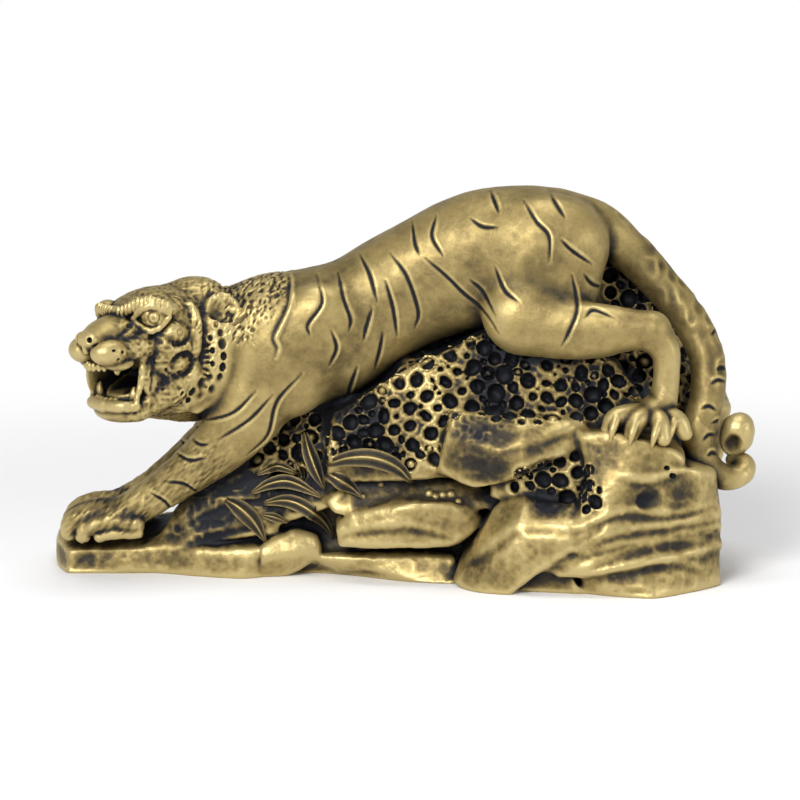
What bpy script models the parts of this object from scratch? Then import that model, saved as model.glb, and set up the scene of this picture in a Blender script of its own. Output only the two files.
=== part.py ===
# Tiger figurine: a tiger creeping down over a pile of rocks, cast in one piece.
# Blender 4.5, metres, +Z up. The tiger looks along -X and turns its head towards -Y, the front.
# The tables of stations are in millimetres, and the functions that read them turn them into metres.

import math

import bmesh
import bpy
import numpy as np
from mathutils import Matrix, Vector

MM = 0.001

# Sizes of the tiger, in metres
BODY_MIDDLE = 0.006            # how far behind the origin the spine runs
LEDGE_TOP = 0.0100             # the rock under the fore paws
FOOT_ROCK_TOP = 0.0425         # the rock under the hind feet
FORE_STANCE = 0.0125           # from the spine to the middle of a fore leg
HIND_STANCE = 0.0225           # from the spine to the middle of a hind leg
THIGH_THICKNESS = 0.0190
HEAD_CENTRE = (-0.0700, -0.0060, 0.0672)
HEAD_TURN = math.radians(48)   # towards the front
HEAD_DIP = math.radians(3)
SKULL_RADIUS = 0.0150
EAR_RADIUS = 0.0050
EYE_RADIUS = 0.0036
FANG_LENGTH = 0.0036
FANG_RADIUS = 0.0012
NOSE_WIDTH = 0.0078
TAIL_THICKNESS = 0.0102        # at the middle of the tail
TOE_RADIUS = 0.0030
CLAW_LENGTH = 0.0068
CLAW_RADIUS = 0.0013

# Sizes of the carving, in metres
STRIPE_WIDTH = 0.0016
STRIPE_DEPTH = 0.0008
PIT_SPACING = 0.0046
PIT_RADIUS = 0.0019
PIT_DEPTH = 0.0021
LEAF_THICKNESS = 0.0022

# How finely the cast is modelled
ROUGH_GRAIN = 0.0012
FINE_GRAIN = 0.00055
TRIANGLES = 11800
RING_POINTS = 16
CURVE_STEPS = 4

# Stations of the body: x, distance behind the spine, height, half height, half width
TORSO = (
    (-66, -4.0, 63.6, 10.0, 8.0), (-62, -3.5, 63.6, 15.0, 10.5), (-57, -2.5, 63.4, 17.2, 11.5),
    (-49.2, -1.5, 64.3, 18.2, 13.0), (-40.6, -0.5, 65.6, 19.8, 15.6), (-29.8, 1, 66.6, 20.0, 17.5),
    (-20.3, 2, 68.6, 20.4, 17.5), (-10.9, 2, 73.3, 21.2, 17.0), (-1.1, 2, 80.0, 19.8, 16.5),
    (8.8, 2, 85.6, 19.6, 16.5), (18.8, 1, 89.1, 20.0, 16.5), (28.8, 0, 90.7, 20.0, 17.0),
    (38.7, -1, 92.0, 18.7, 17.0), (47.2, -1, 93.2, 15.6, 15.0), (52.5, -1, 94.6, 11.0, 11.0),
    (55.5, -1, 95.2, 5.0, 5.0))

# Muscles on each side: x, distance from the spine, height, radii, tip in degrees
MUSCLES = (
    (-35, 12.5, 63, (12, 7.0, 17), -25), (-24, 13.0, 74, (9, 5.5, 10), -20),
    (39, 11.0, 88, (17, 9.5, 20), 12), (47, 8.0, 96, (11, 9.5, 11), 0),
    (32, 17.0, 75.5, (9.5, 6.5, 8.0), 20))

# Hip: x and height of its middle, half length, half height, tip in degrees
HIP = (36, 84, 14, 18, 15)

# Fore leg from the elbow to the paw: x, nearer to the spine by, height over the ledge, radii
FORE_LEG = (
    (-37.5, 0.5, 50.5, 12.5, 7.5), (-44.6, 0.0, 37.5, 10.3, 7.2), (-52.0, 1.5, 28.2, 8.2, 6.8),
    (-61.1, 3.0, 20.4, 6.6, 6.0), (-69.9, 4.5, 13.8, 5.6, 5.4), (-77.5, 5.0, 9.0, 5.2, 5.2),
    (-83.5, 5.0, 6.0, 4.8, 6.0))

# Toes of the fore paw: rows of x, nearer to the spine by, height over the ledge, share of the toe radius
FORE_TOES = (
    ((-79, 7.5, 7.5, 1.4), (-89, 8.0, 7.2, 1.4), (-93.8, 8.5, 5.4, 1.3), (-95.4, 8.5, 2.6, 1.0)),
    ((-79, 4.5, 7.0, 1.4), (-89, 5.0, 6.6, 1.4), (-94.2, 5.0, 4.6, 1.25), (-95.8, 5.0, 2.2, 0.9)),
    ((-80, 1.4, 4.2, 1.0), (-89, 1.0, 4.2, 1.0), (-92.6, 1.2, 2.4, 0.85)))

# Hind leg: x, nearer to the spine by, height over the rock below, radii
SHANK = (
    (33, 5.0, 31.5, 8.6, 6.0), (44, 3.0, 30.1, 8.4, 6.0), (54, 1.5, 30.1, 7.8, 5.6),
    (62, 0.5, 30.5, 6.2, 5.0), (69.5, 0.0, 30.1, 5.4, 4.6), (73.2, 0.0, 24.5, 4.2, 4.2),
    (73.6, 0.0, 17.5, 3.7, 3.8), (72.6, 0.0, 10.5, 4.2, 4.4), (69.5, -1.0, 7.4, 4.4, 4.8))

# Knuckles of the hind toes: x, farther from the spine by, height over the rock below
HIND_TOES = ((59.8, 5.0, 6.6), (65.2, 6.0, 5.8), (71.4, 6.0, 5.2), (76.0, 3.5, 5.6))

# Tail: x, y, height, share of the thickness
TAIL = (
    (44, 5, 101.8, 1.57), (54, 5, 100.0, 1.37), (62.6, 5, 93.6, 1.22), (73.4, 3, 82.6, 1.08),
    (81.6, 0, 72.6, 1.02), (86.0, -3, 62.3, 1.0), (86.0, -6, 52.7, 0.98), (83.8, -8, 44.4, 0.96),
    (83.6, -9, 37.8, 0.92), (86.5, -10, 32.2, 0.84), (91.6, -10, 29.6, 0.74),
    (96.0, -9, 30.6, 0.66), (96.8, -6, 32.8, 0.60), (94, -3.5, 33.5, 0.50))

# Parts of the head, in a head of which the skull has a radius of 15: forwards, towards the near
# cheek, upwards, then the radii and any pitch and yaw. The second table is repeated on both cheeks.
HEAD_SCALE = 15
SKULL_MIDDLE = (
    ((-4, 0, 3.2), (15, 13.6, 12.6), 0, 0), ((1.5, 0, 7.6), (13.0, 13.4, 8.4), 0, 0),
    ((-12, 0, 7.0), (9, 10, 9.5), 0, 0), ((12, 0, 7.4), (9.5, 7.6, 5.2), -14, 0),
    ((19.5, 0, 6.6), (7.5, 5.8, 4.2), -12, 0), ((25, 0, 5.6), (3.4, 4.4, 3.0), -10, 0))
SKULL_SIDES = (
    ((3, 10.5, 0), (9.5, 5.0, 8.5), 0, 0), ((22.6, 4.9, 2.3), (6.0, 4.3, 3.9), 0, -14),
    ((15.5, 7.4, 2.4), (7.6, 3.7, 3.4), 0, -24), ((20.5, 6.0, -1.2), (4.4, 2.1, 2.0), 0, -24))
THROAT = ((12, 0, -12.2, 6.0), (0, 0, -12.8, 8.5), (-12, 0, -12.5, 12))
RUFF = ((-10, 12.8, 5, 4.2), (-9.0, 13.6, -2, 4.8), (-6.0, 12.4, -9, 4.8), (-1.5, 9.6, -13.6, 4.6),
        (6, 5, -14.6, 3.4))
MOUTH = ((17, 0, -7.6), (12.0, 7.2, 3.7))
EYE_PLACE = (12.4, 10.4, 10.8)
EYE_YAW = 42
JAW_FORMS = (
    ((15.2, 0, -15.8), (6.8, 8.2, 3.6)), ((12, 0, -11.0), (8.8, 5.4, 1.6)))
CHEEK_FORMS = (
    ((7.6, 9.2, -6.0), (7.6, 2.2, 8.0)), ((4.6, 12.6, 5.6), (3.8, 2.6, 3.3)),
    ((4.2, 12.6, -3.2), (3.8, 2.6, 3.3)))

# Rods laid on both sides of the head: forwards, outwards, upwards and radius
FACE_RODS = (
    ((0, 11, -8, 5.0), (7, 9.2, -11.5, 4.2), (13.5, 6.6, -15.0, 3.2)),
    ((17.2, 8.2, -13.8, 1.2), (20.4, 5.6, -13.6, 1.5), (21.6, 0, -13.6, 1.6)),
    ((14.2, 9.4, 0.4, 1.2), (14.8, 9.0, -4, 1.0), (15.6, 8.8, -8, 1.0), (17.2, 8.2, -13.6, 1.2)),
    ((12.5, 3.2, 10.2, 1.3), (17.0, 4.4, 8.3, 1.4), (21.0, 4.6, 6.8, 0.9)),
    ((9.5, 8.4, 6.8, 1.5), (13.0, 8.8, 5.6, 1.4), (16.5, 8.0, 4.6, 0.9)),
    ((14.0, 0, 11.2, 1.5), (14.0, 3.2, 12.0, 1.6), (13.0, 6.2, 13.6, 1.7), (11.0, 10.0, 15.0, 1.7),
     (8.2, 13.2, 13.8, 1.5)),
    ((13.6, 6.0, 10.2, 0.8), (13.0, 8.5, 7.8, 1.0), (11.0, 11.2, 7.3, 1.1), (7.8, 13.3, 10.6, 0.9)),
    ((-2.4, 12.8, 14.0, 1.4), (-2.6, 15.0, 9.5, 1.8), (-2.0, 15.6, 5, 1.8), (-1.2, 15.2, 0.0, 1.3)),
    ((-12.8, 16.4, 9.0, 1.0), (-11.8, 17.8, 5, 1.2), (-10.9, 18.2, -1.0, 1.3), (-9.6, 17.6, -8, 1.3),
     (-6.8, 15.4, -14.6, 1.2), (-3.2, 12.0, -18.8, 1.1)))

# Boulders of the pile: x, y, height, radii, seed
BOULDERS = (
    (-84, 20, 3.5, (15, 14, 7.0), 3), (-66, 17, 3.5, (17, 17, 7.0), 5), (-48, 16, 4, (18, 19, 8.0), 7),
    (-33, 15, 6, (18, 20, 10), 9), (-30, 15, 22, (18, 17, 17), 53), (-10, 14, 26, (24, 20, 24), 11),
    (12, 14, 36, (30, 20, 33), 13), (42, 15, 34, (36, 19, 36), 17), (60, 18, 62, (20, 13, 33), 19),
    (72, 14, 36, (18, 18, 30), 23), (60, 8, 16, (30, 26, 22), 43))
ROCK_FACES = 22
ROCK_ROUGHNESS = 0.06
ROCK_TILT = 0.18

# Split rocks at the front: the corners of each one, as x, y and height, and how far back it reaches.
# The lowest corners lie under the floor, where the cast is sawn off.
LEDGE_END = (
    ((-100.5, 8, 9), (-99.5, 10, 9.5), (-96.5, -1, 7.5), (-86, 1, 7.5), (-100.5, 8, -2), (-97, -3, -2),
     (-78, 1, -2), (-73, 0, 7.5), (-68.5, -2, -2), (-67, -1, 8), (-69, 10, 10.5), (-97, 14, 11)), 22)
LEDGE_FRONT = (
    ((-73.5, 0, 8), (-70, -2, -2), (-56.5, -8, -2), (-46, -10, -2), (-40.5, -7, -2), (-40.5, -8, 9),
     (-49.5, -8, 8.5), (-59.5, -5, 8), (-47, 4, 11), (-70.5, 6, 10.5)), 30)
CORNER_STONE = (
    ((-40.5, -10, 6.5), (-31, -5, 14), (-24.5, -6, 12), (-23.5, -7, 7), (-27, -6, 3), (-37, -6, -2),
     (-40.5, -6, -2), (-40.5, -8, 9.5)), 20)
LOW_STRIP = (
    ((-28.5, -5, 5.5), (-19.5, -8, 7), (-7, -10, 7.5), (9, -11, 8), (14.5, -12, 7), (14.5, -18, -2),
     (9, -13, -2), (-8, 0, -2), (-18.5, 4, -2), (-26, 4, -2)), 24)
MIDDLE_BLOCK = (
    ((-19, -14, 17), (-15.5, -15, 20), (-2, -16, 24.5), (-0.5, -20, 23), (7, -19, 24), (15, -17, 23.5),
     (21, -14, 21), (22.5, -15, 18), (18.5, -18, 13.5), (13.5, -17, 10.5), (7, -19, 10.5),
     (-5.5, -19, 11), (-18, -15, 10), (-19, -15, 12.5)), 24)
TERRACE = (
    ((-22.5, -12, 23), (-16.5, -10, 27.5), (4.5, -10, 29.5), (18.5, -11, 28.5), (27, -13, 26),
     (28, -15, 22), (21, -15, 20.5), (-1, -15, 23.5), (-19.5, -14, 19.5)), 24)
SMOOTH_BOULDER = (
    ((13.5, -18, 50), (21.5, -20, 46), (31.5, -22, 46), (41, -22, 47), (50, -19, 48), (51.5, -20, 44.5),
     (48, -23, 39.5), (34.5, -26, 35.5), (25.5, -25, 29.5), (18.5, -22, 29), (9.5, -18, 33),
     (11, -21, 42), (26.5, -27, 40), (39.5, -26, 42.5)), 26)
PITTED_HOLLOW = (
    ((26, -19, 37), (34, -22, 38), (50, -21, 40), (56, -23, 27), (48, -23, 22), (33, -21, 24),
     (24, -18, 25)), 24)
FOOT_ROCK = (
    ((48.5, -22, 44.5), (58, -26, 45.5), (66.5, -27, 42.5), (75.5, -26, 41), (79, -24, 38), (78, -25, 34),
     (61.5, -30, 31.5), (54.5, -30, 25), (51.5, -27, 31), (49.5, -25, 38.5)), 40)
RIGHT_SLOPE = (
    ((52, -26, 34.5), (61.5, -30, 32.5), (80, -25, 35.5), (88, -18, 33), (89.5, -17, 24), (89, -19, 17.5),
     (76, -27, 17), (62, -32, 16), (50, -33, 12.5), (46, -32.5, 14), (53.5, -30, 24)), 44)
LEANING_SLAB = (
    ((26, -22, 23.5), (32.5, -22, 27), (48, -24, 24.5), (56.5, -30, 23.5), (54.5, -32, 20),
     (46.5, -33, 18.5), (32.5, -31, 18.5), (27, -29, 13), (18.5, -24, 6.5), (13.5, -19, 1.5),
     (20.5, -28, -2), (28, -30, -2), (35, -32, 9), (43.5, -33, 13)), 30)
MIDDLE_SHELF = (
    ((45, -31.5, 13), (62, -30.5, 15), (76, -26, 16.5), (89.5, -18, 17), (89.5, -18, 11), (80, -26, 11),
     (66, -34, 9.5), (54, -34.5, 6.5), (44, -31, 4.5), (40, -29, 7)), 40)
RECESS = (
    ((29, -26, 5), (36, -28, 9), (46, -30, 8), (50, -29, -2), (30, -25, -2)), 30)
RIGHT_FOOT = (
    ((50, -30, 6), (66, -32, 9), (80, -25, 11), (89.5, -17.5, 12), (90, -17, -2), (84.5, -24, -2),
     (78, -29, -2), (70.5, -36, -2), (59, -32, -2), (50, -27, -2)), 46)
SHADOW_BANK = (
    ((-45, 2, 18), (-40, 3, 36), (-28, 2, 50), (-14, 0, 58), (-16, -6, 30), (-22, -8, 20), (-42, -2, 12),
     (-34, -4, 22)), 26)
PITTED_BANK = (
    ((-21, -8, 46.7), (1.4, -9, 60.6), (14.4, -9, 65.7), (24.8, -9, 71.4), (42, -10, 69), (60, -10, 62),
     (-21, -12, 40.3), (-22, -12, 28), (-4, -14, 36), (8, -15, 30), (14, -17, 40), (40, -17, 46),
     (58.3, -15, 46), (74, -10, 43)), 26)
UNDERLAY = (
    ((-97, 8, -2), (-97, 8, 5), (-22, 4, 15), (20, -8, -2), (20, -8, 8), (62, -8, 15), (88, 0, -2),
     (88, 0, 5)), 25)
CRAGS = (
    UNDERLAY, LEDGE_END, LEDGE_FRONT, CORNER_STONE, LOW_STRIP, MIDDLE_BLOCK, TERRACE, SMOOTH_BOULDER,
    PITTED_HOLLOW, FOOT_ROCK, RIGHT_SLOPE, LEANING_SLAB, MIDDLE_SHELF, RECESS, RIGHT_FOOT, SHADOW_BANK,
    PITTED_BANK)

# The knob of rock behind the tail: x, y, height, radii, tip in degrees
KNOB = ((94.0, -4, 41), (4.8, 4.5, 6.5), 20)

# Leaves in front of the rocks: x, height, lift off the rock behind, half width
LEAVES = (
    ((-22, 34, 0.0, 0.8), (-14, 36.5, 1.0, 2.6), (-5, 36, 1.2, 2.6), (2.5, 29, 0.3, 0.6)),
    ((-28, 40, 0.0, 0.8), (-25, 33, 1.0, 2.4), (-22.5, 26.5, 0.3, 0.6)),
    ((-21, 31, 0.0, 0.6), (-16.5, 28, 1.0, 2.2), (-12, 25.5, 0.3, 0.6)),
    ((-43, 24.5, 0.0, 0.6), (-34, 28.0, 1.0, 2.2), (-23.5, 24.0, 0.3, 0.6)),
    ((-39, 21.0, 0.0, 0.6), (-31, 21.5, 1.0, 2.2), (-24, 17, 1.0, 2.0), (-20, 10.5, 0.3, 0.6)),
    ((-50, 21.5, 0.0, 0.8), (-45, 17.5, 1.0, 3.0), (-39.5, 10.5, 0.3, 0.6)))

# Fields of pits on the front of the rocks: middle x and height, half length, half height, tilt
PIT_FIELDS = (
    ((6, 52), 33, 8.5, 18), ((45, 58), 18, 8, 0), ((-8, 41), 14, 5, -5), ((40, 29), 11, 6, 20),
    ((66, 80), 7, 13, 20))

# Stripes as seen from the front: x and height along each groove
STRIPES = (
    ((-24.6, 86), (-23, 80), (-27, 74), (-26.5, 71)), ((-18.7, 87), (-17, 81), (-15, 75), (-15.5, 72)),
    ((-20.4, 72), (-19, 67), (-21, 62)), ((-12.5, 92), (-9.7, 87), (-7.7, 80)),
    ((-5.2, 85.5), (-3.1, 78), (-2, 70)), ((-4, 93), (0.7, 87), (4, 77), (3, 72)),
    ((-9, 78), (-10.5, 73), (-11.5, 69)), ((-6, 71), (-7, 65), (-8.3, 60)),
    ((-13.3, 61), (-14.8, 56), (-16, 52)), ((2.3, 101), (3, 96), (4.2, 93)),
    ((9, 103), (7.8, 98), (10.7, 93)), ((6, 92), (12, 87), (17, 82), (23, 77), (26.5, 72)),
    ((24.5, 110), (26.5, 105)), ((18.7, 103), (22, 101), (26, 101)),
    ((33.7, 108), (37, 103), (40.5, 99), (40.5, 92)), ((41, 110), (45, 104)),
    ((25.5, 90), (28, 84), (32, 81)), ((18.7, 86), (22, 83), (25.5, 77)),
    ((44, 98), (47, 95), (52.5, 91)), ((50.5, 88), (53, 85), (57.5, 83)),
    ((47, 88), (48.4, 80), (46, 73), (44, 69)), ((50.4, 77), (53, 79), (58.5, 77)),
    ((-41.8, 55), (-48, 49), (-56, 46)), ((-37, 54), (-43.5, 47), (-52.5, 41)),
    ((-28.8, 60), (-35.8, 52), (-38.5, 42), (-44.5, 36)))


def smooth_rows(rows, steps=CURVE_STEPS):
    """The rows of numbers with a Catmull-Rom curve drawn through them."""
    points = np.array(rows, float)
    points = np.vstack([2 * points[0] - points[1], points, 2 * points[-1] - points[-2]])
    curve = []
    for a, b, c, d in zip(points[:-3], points[1:-2], points[2:-1], points[3:]):
        for t in np.arange(steps) / steps:
            curve.append(0.5 * (2 * b + (c - a) * t + (2 * a - 5 * b + 4 * c - d) * t ** 2
                                + (3 * b - a - 3 * c + d) * t ** 3))
    curve.append(points[-2])
    return np.array(curve)


def add_mesh(bm, mesh):
    """Put a mesh into bm and free it."""
    bm.from_mesh(mesh)
    bpy.data.meshes.remove(mesh)


def unit_ball():
    ball = bmesh.new()
    bmesh.ops.create_uvsphere(ball, u_segments=2 * RING_POINTS, v_segments=RING_POINTS, radius=1)
    mesh = bpy.data.meshes.new("ball")
    ball.to_mesh(mesh)
    ball.free()
    return mesh


def ellipsoid(bm, centre, radii, axes=Matrix.Identity(3)):
    """A ball stretched along the three columns of axes."""
    ball = unit_ball()
    ball.transform(Matrix.Translation(centre) @ axes.to_4x4() @ Matrix.Diagonal((*radii, 1)))
    add_mesh(bm, ball)


def skin_rings(bm, rings):
    """A closed skin over a row of rings with equal numbers of points."""
    loops = [[bm.verts.new(point) for point in ring] for ring in rings]
    count = len(loops[0])
    faces = [bm.faces.new(reversed(loops[0])), bm.faces.new(loops[-1])]
    for below, above in zip(loops, loops[1:]):
        for i in range(count):
            j = (i + 1) % count
            faces.append(bm.faces.new((below[i], below[j], above[j], above[i])))
    bmesh.ops.recalc_face_normals(bm, faces=faces)


def limb(bm, rows):
    """A round limb: rows of x, y, z, radius seen from the side and radius across, in metres."""
    rows = smooth_rows(rows)
    turns = [2 * math.pi * i / RING_POINTS for i in range(RING_POINTS)]
    rings = []
    for i, row in enumerate(rows):
        along = Vector(rows[min(i + 1, len(rows) - 1)][:3]) - Vector(rows[max(i - 1, 0)][:3])
        along.normalize()
        across = Vector((0, 1, 0))
        across = (across - along * across.dot(along)).normalized()
        side = along.cross(across)
        middle = Vector(row[:3])
        high, wide = side * row[3], across * row[4]
        rings.append([middle + high * math.cos(t) + wide * math.sin(t) for t in turns])
    skin_rings(bm, rings)
    for row in (rows[0], rows[-1]):
        ellipsoid(bm, row[:3], (row[3], row[4], row[3]))


def barrel(bm, rows, roundness=2.3):
    """A body along x with nearly elliptical sections: rows of x, y, z, half height, half width."""
    rings = []
    for x, y, z, high, wide in smooth_rows(rows):
        ring = []
        for i in range(2 * RING_POINTS):
            turn = math.pi * i / RING_POINTS
            c, s = math.cos(turn), math.sin(turn)
            reach = (abs(c) ** roundness + abs(s) ** roundness) ** (-1 / roundness)
            ring.append(Vector((x, y + wide * c * reach, z + high * s * reach)))
        rings.append(ring)
    skin_rings(bm, rings)


def boulder(bm, centre, radii, seed, faces=ROCK_FACES):
    """A block split along flat faces, which fills an ellipsoid."""
    rng = np.random.default_rng(seed)
    rock = bmesh.new()
    size = 2.4 * max(radii)
    bmesh.ops.create_cube(rock, size=size, matrix=Matrix.Translation(centre))
    start = rng.uniform(0, 2 * math.pi)
    for i in range(faces):
        polar = math.acos(1 - 2 * (i + 0.5) / faces)
        turn = math.pi * (1 + math.sqrt(5)) * (i + 0.5) + start
        level = math.sin(polar)
        outward = Vector((math.cos(turn) * level, math.sin(turn) * level, math.cos(polar)))
        outward = (outward + Vector(rng.normal(0, ROCK_TILT, 3))).normalized()
        reach = Vector([outward[k] * radii[k] for k in range(3)]).length * rng.uniform(1 - ROCK_ROUGHNESS, 1)
        parts = rock.verts[:] + rock.edges[:] + rock.faces[:]
        cut = bmesh.ops.bisect_plane(rock, geom=parts, plane_co=Vector(centre) + outward * reach,
                                     plane_no=outward, clear_outer=True)
        edges = [part for part in cut["geom_cut"] if isinstance(part, bmesh.types.BMEdge)]
        if edges:
            bmesh.ops.contextual_create(rock, geom=edges)
    bmesh.ops.recalc_face_normals(rock, faces=rock.faces[:])
    mesh = bpy.data.meshes.new("boulder")
    rock.to_mesh(mesh)
    rock.free()
    add_mesh(bm, mesh)


def tipped(degrees):
    """Axes turned about y."""
    return Matrix.Rotation(math.radians(degrees), 3, "Y")


def as_object(bm, name):
    mesh = bpy.data.meshes.new(name)
    bm.to_mesh(mesh)
    bm.free()
    piece = bpy.data.objects.new(name, mesh)
    bpy.context.scene.collection.objects.link(piece)
    return piece


def apply_modifiers(piece):
    """Turn what the object's modifiers make into its own mesh."""
    shown = piece.evaluated_get(bpy.context.evaluated_depsgraph_get())
    mesh = bpy.data.meshes.new_from_object(shown)
    old = piece.data
    piece.modifiers.clear()
    piece.data = mesh
    bpy.data.meshes.remove(old)


def fuse(piece, grain, smoothing):
    """Melt the overlapping forms of an object into one skin and soften the seams."""
    melt = piece.modifiers.new("melt", "REMESH")
    melt.mode = "VOXEL"
    melt.voxel_size = grain
    if smoothing:
        soften = piece.modifiers.new("soften", "SMOOTH")
        soften.factor = 0.5
        soften.iterations = smoothing
    apply_modifiers(piece)


def cut_away(piece, cutter):
    cut = piece.modifiers.new("cut", "BOOLEAN")
    cut.operation = "DIFFERENCE"
    cut.object = cutter
    apply_modifiers(piece)
    bpy.data.objects.remove(cutter)


def move_in(bm, piece):
    """Put the mesh of a finished piece into bm and remove the piece."""
    bm.from_mesh(piece.data)
    bpy.data.objects.remove(piece)


def read_points(piece):
    """The points and their normals as arrays."""
    mesh = piece.data
    points = np.empty(len(mesh.vertices) * 3, np.float32)
    mesh.vertices.foreach_get("co", points)
    normals = np.empty(len(mesh.vertices) * 3, np.float32)
    mesh.vertex_normals.foreach_get("vector", normals)
    return points.reshape(-1, 3), normals.reshape(-1, 3)


def distance_to_line(flat, line):
    """Distance of points (x, z) from a line of points, and how far along the line each one is."""
    best = np.full(len(flat), np.inf)
    share = np.zeros(len(flat))
    spans = len(line) - 1
    for i, (a, b) in enumerate(zip(line, line[1:])):
        step = b - a
        t = np.clip((flat - a) @ step / (step @ step), 0, 1)
        gap = np.linalg.norm(flat - a - t[:, None] * step, axis=1)
        nearer = gap < best
        best[nearer] = gap[nearer]
        share[nearer] = (i + t[nearer]) / spans
    return best, share


def carve_stripes(piece):
    """Grooves drawn from the side, on both sides of the tiger, thin at their ends."""
    points, normals = read_points(piece)
    depth = np.zeros(len(points))
    for stripe in STRIPES:
        line = smooth_rows(np.array(stripe) * MM)
        gap, share = distance_to_line(points[:, [0, 2]], line)
        width = STRIPE_WIDTH * (0.5 + 0.5 * np.sin(math.pi * np.clip(share, 0.05, 0.95)))
        depth = np.maximum(depth, STRIPE_DEPTH * np.clip(1 - (gap / width) ** 2, 0, 1))
    facing = np.clip(np.abs(normals[:, 1]) * 2.5, 0, 1)
    points -= normals * (depth * facing)[:, None]
    piece.data.vertices.foreach_set("co", points.ravel())
    piece.data.update()


def pit_centres():
    """Rows of pits packed like a honeycomb inside each field."""
    rng = np.random.default_rng(7)
    centres = []
    for (x, z), long, high, tilt in PIT_FIELDS:
        turn = Matrix.Rotation(math.radians(tilt), 2)
        rows = int(high * MM / (PIT_SPACING * 0.87))
        columns = int(long * MM / PIT_SPACING)
        for row in range(-rows, rows + 1):
            for column in range(-columns, columns + 1):
                place = Vector(((column + 0.5 * (row % 2)) * PIT_SPACING, row * PIT_SPACING * 0.87))
                place += Vector(rng.uniform(-0.15, 0.15, 2) * PIT_SPACING)
                if (place.x / (long * MM)) ** 2 + (place.y / (high * MM)) ** 2 < 1:
                    centres.append(Vector((x * MM, z * MM)) + turn @ place)
    return np.array(centres)


def carve_pits(piece):
    """Honeycomb pits sunk into the front of the rocks."""
    points, normals = read_points(piece)
    front = normals[:, 1] < -0.15
    depth = np.zeros(len(points))
    for centre in pit_centres():
        gap = np.linalg.norm(points[:, [0, 2]] - centre, axis=1)
        depth = np.maximum(depth, PIT_DEPTH * np.clip(1.3 * (1 - (gap / PIT_RADIUS) ** 2), 0, 1))
    points[front, 1] += depth[front]
    piece.data.vertices.foreach_set("co", points.ravel())
    piece.data.update()


def head_axes():
    """Columns: forwards, towards the near cheek, upwards."""
    forward = Vector((-math.cos(HEAD_TURN) * math.cos(HEAD_DIP), -math.sin(HEAD_TURN) * math.cos(HEAD_DIP),
                      -math.sin(HEAD_DIP)))
    near = Vector((math.sin(HEAD_TURN), -math.cos(HEAD_TURN), 0))
    return Matrix((forward, near, forward.cross(near))).transposed()


def on_head(place):
    """A place forwards, sideways and up from the middle of the head, in parts of the skull."""
    return Vector(HEAD_CENTRE) + head_axes() @ (Vector(place) * SKULL_RADIUS / HEAD_SCALE)


def head_ball(bm, place, radii, pitch=0, yaw=0):
    """A ball on the head, with its nose tipped up by pitch and turned outwards by yaw."""
    side = 1 if place[1] >= 0 else -1
    turned = head_axes() @ Matrix.Rotation(math.radians(yaw) * side, 3, "Z")
    turned = turned @ Matrix.Rotation(math.radians(-pitch), 3, "Y")
    ellipsoid(bm, on_head(place), [radius * SKULL_RADIUS / HEAD_SCALE for radius in radii], turned)


def head_limb(bm, rows, side=1):
    """A rod on the head, or its mirror image where side is -1."""
    unit = SKULL_RADIUS / HEAD_SCALE
    limb(bm, [(*on_head((row[0], side * row[1], row[2])), row[3] * unit, row[3] * unit) for row in rows])


def head_share(size):
    """A size in metres in parts of the skull."""
    return size / SKULL_RADIUS * HEAD_SCALE


def leg_rows(rows, stance, ground, side):
    """Stations of a leg set out from the spine, over the ground it stands on."""
    return [(x * MM, BODY_MIDDLE + side * (stance - inward * MM), ground + z * MM, a * MM, b * MM)
            for x, inward, z, a, b in rows]


def add_torso(bm):
    barrel(bm, [(x * MM, BODY_MIDDLE + y * MM, z * MM, high * MM, wide * MM)
                for x, y, z, high, wide in TORSO])


def add_muscles(bm, side):
    for x, out, z, radii, tip in MUSCLES:
        centre = (x * MM, BODY_MIDDLE + side * out * MM, z * MM)
        ellipsoid(bm, centre, [radius * MM for radius in radii], tipped(tip))
    x, z, long, high, tip = HIP
    middle = (x * MM, BODY_MIDDLE + side * (HIND_STANCE - THIGH_THICKNESS / 2), z * MM)
    ellipsoid(bm, middle, (long * MM, THIGH_THICKNESS / 2, high * MM), tipped(tip))


def add_legs(bm, side):
    limb(bm, leg_rows(FORE_LEG, FORE_STANCE, LEDGE_TOP, side))
    limb(bm, leg_rows(SHANK, HIND_STANCE, FOOT_ROCK_TOP, side))


def add_fore_paw(bm, side):
    for toe in FORE_TOES:
        limb(bm, [(x * MM, BODY_MIDDLE + side * (FORE_STANCE - inward * MM), LEDGE_TOP + z * MM,
                   share * TOE_RADIUS, share * TOE_RADIUS) for x, inward, z, share in toe])


def add_hind_paw(bm, side):
    """Four toes that fan out from the end of the shank, with a claw on each."""
    x, inward, z = SHANK[-1][:3]
    ankle = Vector((x * MM, BODY_MIDDLE + side * (HIND_STANCE - inward * MM), FOOT_ROCK_TOP + z * MM))
    for x, outward, z in HIND_TOES:
        knuckle = Vector((x * MM, BODY_MIDDLE + side * (HIND_STANCE + outward * MM), FOOT_ROCK_TOP + z * MM))
        end = knuckle + (knuckle - ankle).normalized() * TOE_RADIUS - Vector((0, 0, TOE_RADIUS))
        limb(bm, [(*ankle, TOE_RADIUS, TOE_RADIUS), (*knuckle, TOE_RADIUS, TOE_RADIUS),
                  (*end, 0.7 * TOE_RADIUS, 0.7 * TOE_RADIUS)])
        root = knuckle + Vector((-0.2, 0.8 * side, 0)) * TOE_RADIUS
        tip = root + Vector((-0.25, 0.25 * side, -0.9)).normalized() * CLAW_LENGTH
        bend = (root + tip) / 2 + Vector((-0.2, 0.8 * side, 0)) * CLAW_RADIUS
        limb(bm, [(*root, CLAW_RADIUS, CLAW_RADIUS), (*bend, 0.8 * CLAW_RADIUS, 0.8 * CLAW_RADIUS),
                  (*tip, 0.3 * CLAW_RADIUS, 0.3 * CLAW_RADIUS)])


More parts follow.
